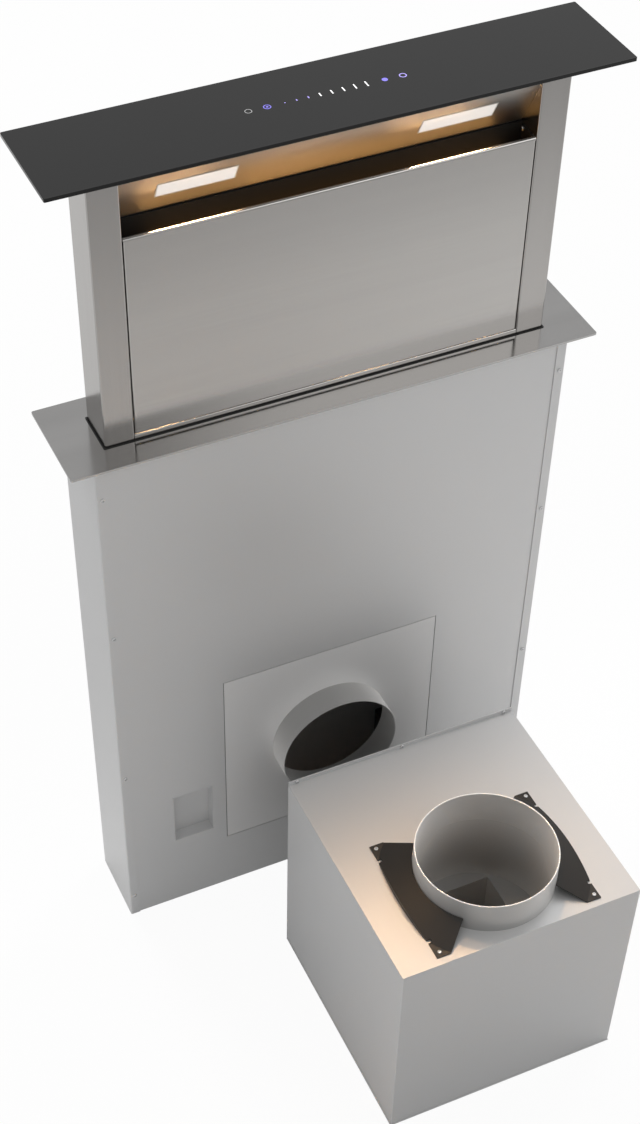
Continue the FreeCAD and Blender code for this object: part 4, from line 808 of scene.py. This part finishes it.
floor_tree.links.new(floor_shader.outputs["BSDF"], floor_mix.inputs[1])
floor_tree.links.new(floor_glow.outputs["Emission"], floor_mix.inputs[2])
floor_tree.links.new(floor_mix.outputs["Shader"], floor_tree.nodes["Material Output"].inputs["Surface"])
floor.data.materials.append(floor_material)
print("floor", FLOOR_SIZE, "m wide")

# %% World
WORLD_LIGHT = 0.50
WORLD_MIRRORED = 0.64
world = bpy.data.worlds.new("studio")
scene.world = world
world.use_nodes = True
world_tree = world.node_tree
background = world_tree.nodes["Background"]
background.inputs["Color"].default_value = (1.0, 1.0, 1.0, 1.0)
world_path = world_tree.nodes.new("ShaderNodeLightPath")
mirrored = add_math(world_tree, "MAXIMUM", world_path.outputs["Is Glossy Ray"],
                    world_path.outputs["Is Transmission Ray"])
seen_more = add_math(world_tree, "MULTIPLY", world_path.outputs["Is Camera Ray"], 1.0 - WORLD_LIGHT)
mirrored_more = add_math(world_tree, "MULTIPLY", mirrored, WORLD_MIRRORED - WORLD_LIGHT)
strength = add_math(world_tree, "ADD", add_math(world_tree, "ADD", mirrored_more, seen_more), WORLD_LIGHT)
world_tree.links.new(strength, background.inputs["Strength"])
print("world light", WORLD_LIGHT, "and in reflections", WORLD_MIRRORED)

# %% Studio lamps


def soft_lamp(name, place, target, size, watts, color=(1.0, 1.0, 1.0)):
    """A large round lamp aimed at a point."""
    deselect_all()
    bpy.ops.object.light_add(type="AREA", location=place)
    lamp = bpy.context.object
    lamp.name = name
    lamp.data.shape = "DISK"
    lamp.data.size = size
    lamp.data.energy = watts
    lamp.data.color = color
    lamp.rotation_euler = (Vector(target) - Vector(place)).to_track_quat("-Z", "Y").to_euler()
    lamp.visible_camera = False
    print(name, watts, "W")
    return lamp


soft_lamp("high_lamp", (1.25, 1.3, 4.2), (0.1, -0.2, 0.4), 3.0, 24)
soft_lamp("key_lamp", (1.5, -1.9, 2.4), (0.2, -0.6, 0.2), 1.8, 8)
side_lamp = soft_lamp("side_lamp", (2.6, 1.4, 3.0), (0, -0.2, 0.4), 1.5, 45)
back_lamp = soft_lamp("back_lamp", (-0.6, 3.0, 3.2), (0, 0, 0.5), 1.5, 90)
side_lamp.visible_glossy = False
back_lamp.visible_glossy = False

# %% [markdown]
# The two lamps under the glass shine forward and down from the slanted panel that holds them.
# Their light is warm, and it makes the glow on the lamp panel, the bright line along the front
# panel's rolled edge, and the warm patch on the box. The lights hang on the tower, so they go
# down with it.

# %% Lamps under the glass
LAMP_OFFSET = 136.7 * MM
LAMP_SIZE = (80 * MM, 20 * MM)
LAMP_WATTS = 0.45
LAMP_SPREAD = 80
LAMP_WAY = Vector((0, -0.55, -0.835))
WARM = (1.0, 0.60, 0.28)


def tower_light(name, place, turn, size, watts, color, spread=180):
    """A small oblong light that rides on the tower. spread is in degrees."""
    deselect_all()
    bpy.ops.object.light_add(type="AREA", location=place)
    light = bpy.context.object
    light.name = name
    light.data.shape = "RECTANGLE"
    light.data.size, light.data.size_y = size
    light.data.energy = watts
    light.data.color = color
    light.data.spread = math.radians(spread)
    light.rotation_euler = turn.to_euler()
    light.visible_camera = False
    light.parent = frame["bodies"]["tower"]
    print(name, watts, "W on the tower")


lens_low, lens_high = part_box("lamp_lenses")
lens_middle = (lens_low + lens_high) / 2
slope = Vector((0, -30.6, 57.4)).normalized()
off_the_lens = Vector((0, -slope.z, slope.y)) * 2 * MM
for side, name in ((-1, "lamp_left"), (1, "lamp_right")):
    place = Vector((side * LAMP_OFFSET, lens_middle.y, lens_middle.z)) + off_the_lens
    tower_light(name, place, LAMP_WAY.to_track_quat("-Z", "Z"), LAMP_SIZE, LAMP_WATTS, WARM, LAMP_SPREAD)

# %% [markdown]
# Their light also comes back up from inside the air slot, as a weak golden glow on the slanted
# panel and on the inner faces of the posts. Two dim strips that face upwards stand for it.

# %% Glow from the air slot
SLOT_GLOWS = (("glow_wide", 10, 380, 0.018, (1.0, 0.52, 0.16)),
              ("glow_middle", 0, 170, 0.038, (1.0, 0.46, 0.10)))
GLOW_WIDTH = 16 * MM
GLOW_INSET = 20 * MM
GLOW_DROP = 25 * MM
GLOW_TURN = Vector((0, 0.2, 1)).to_track_quat("-Z", "Y")
sill_low, sill_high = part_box("front_panel")
for name, middle, length, watts, color in SLOT_GLOWS:
    place = (middle * MM, sill_low.y + GLOW_INSET, sill_high.z - GLOW_DROP)
    tower_light(name, place, GLOW_TURN, (length * MM, GLOW_WIDTH), watts, color)
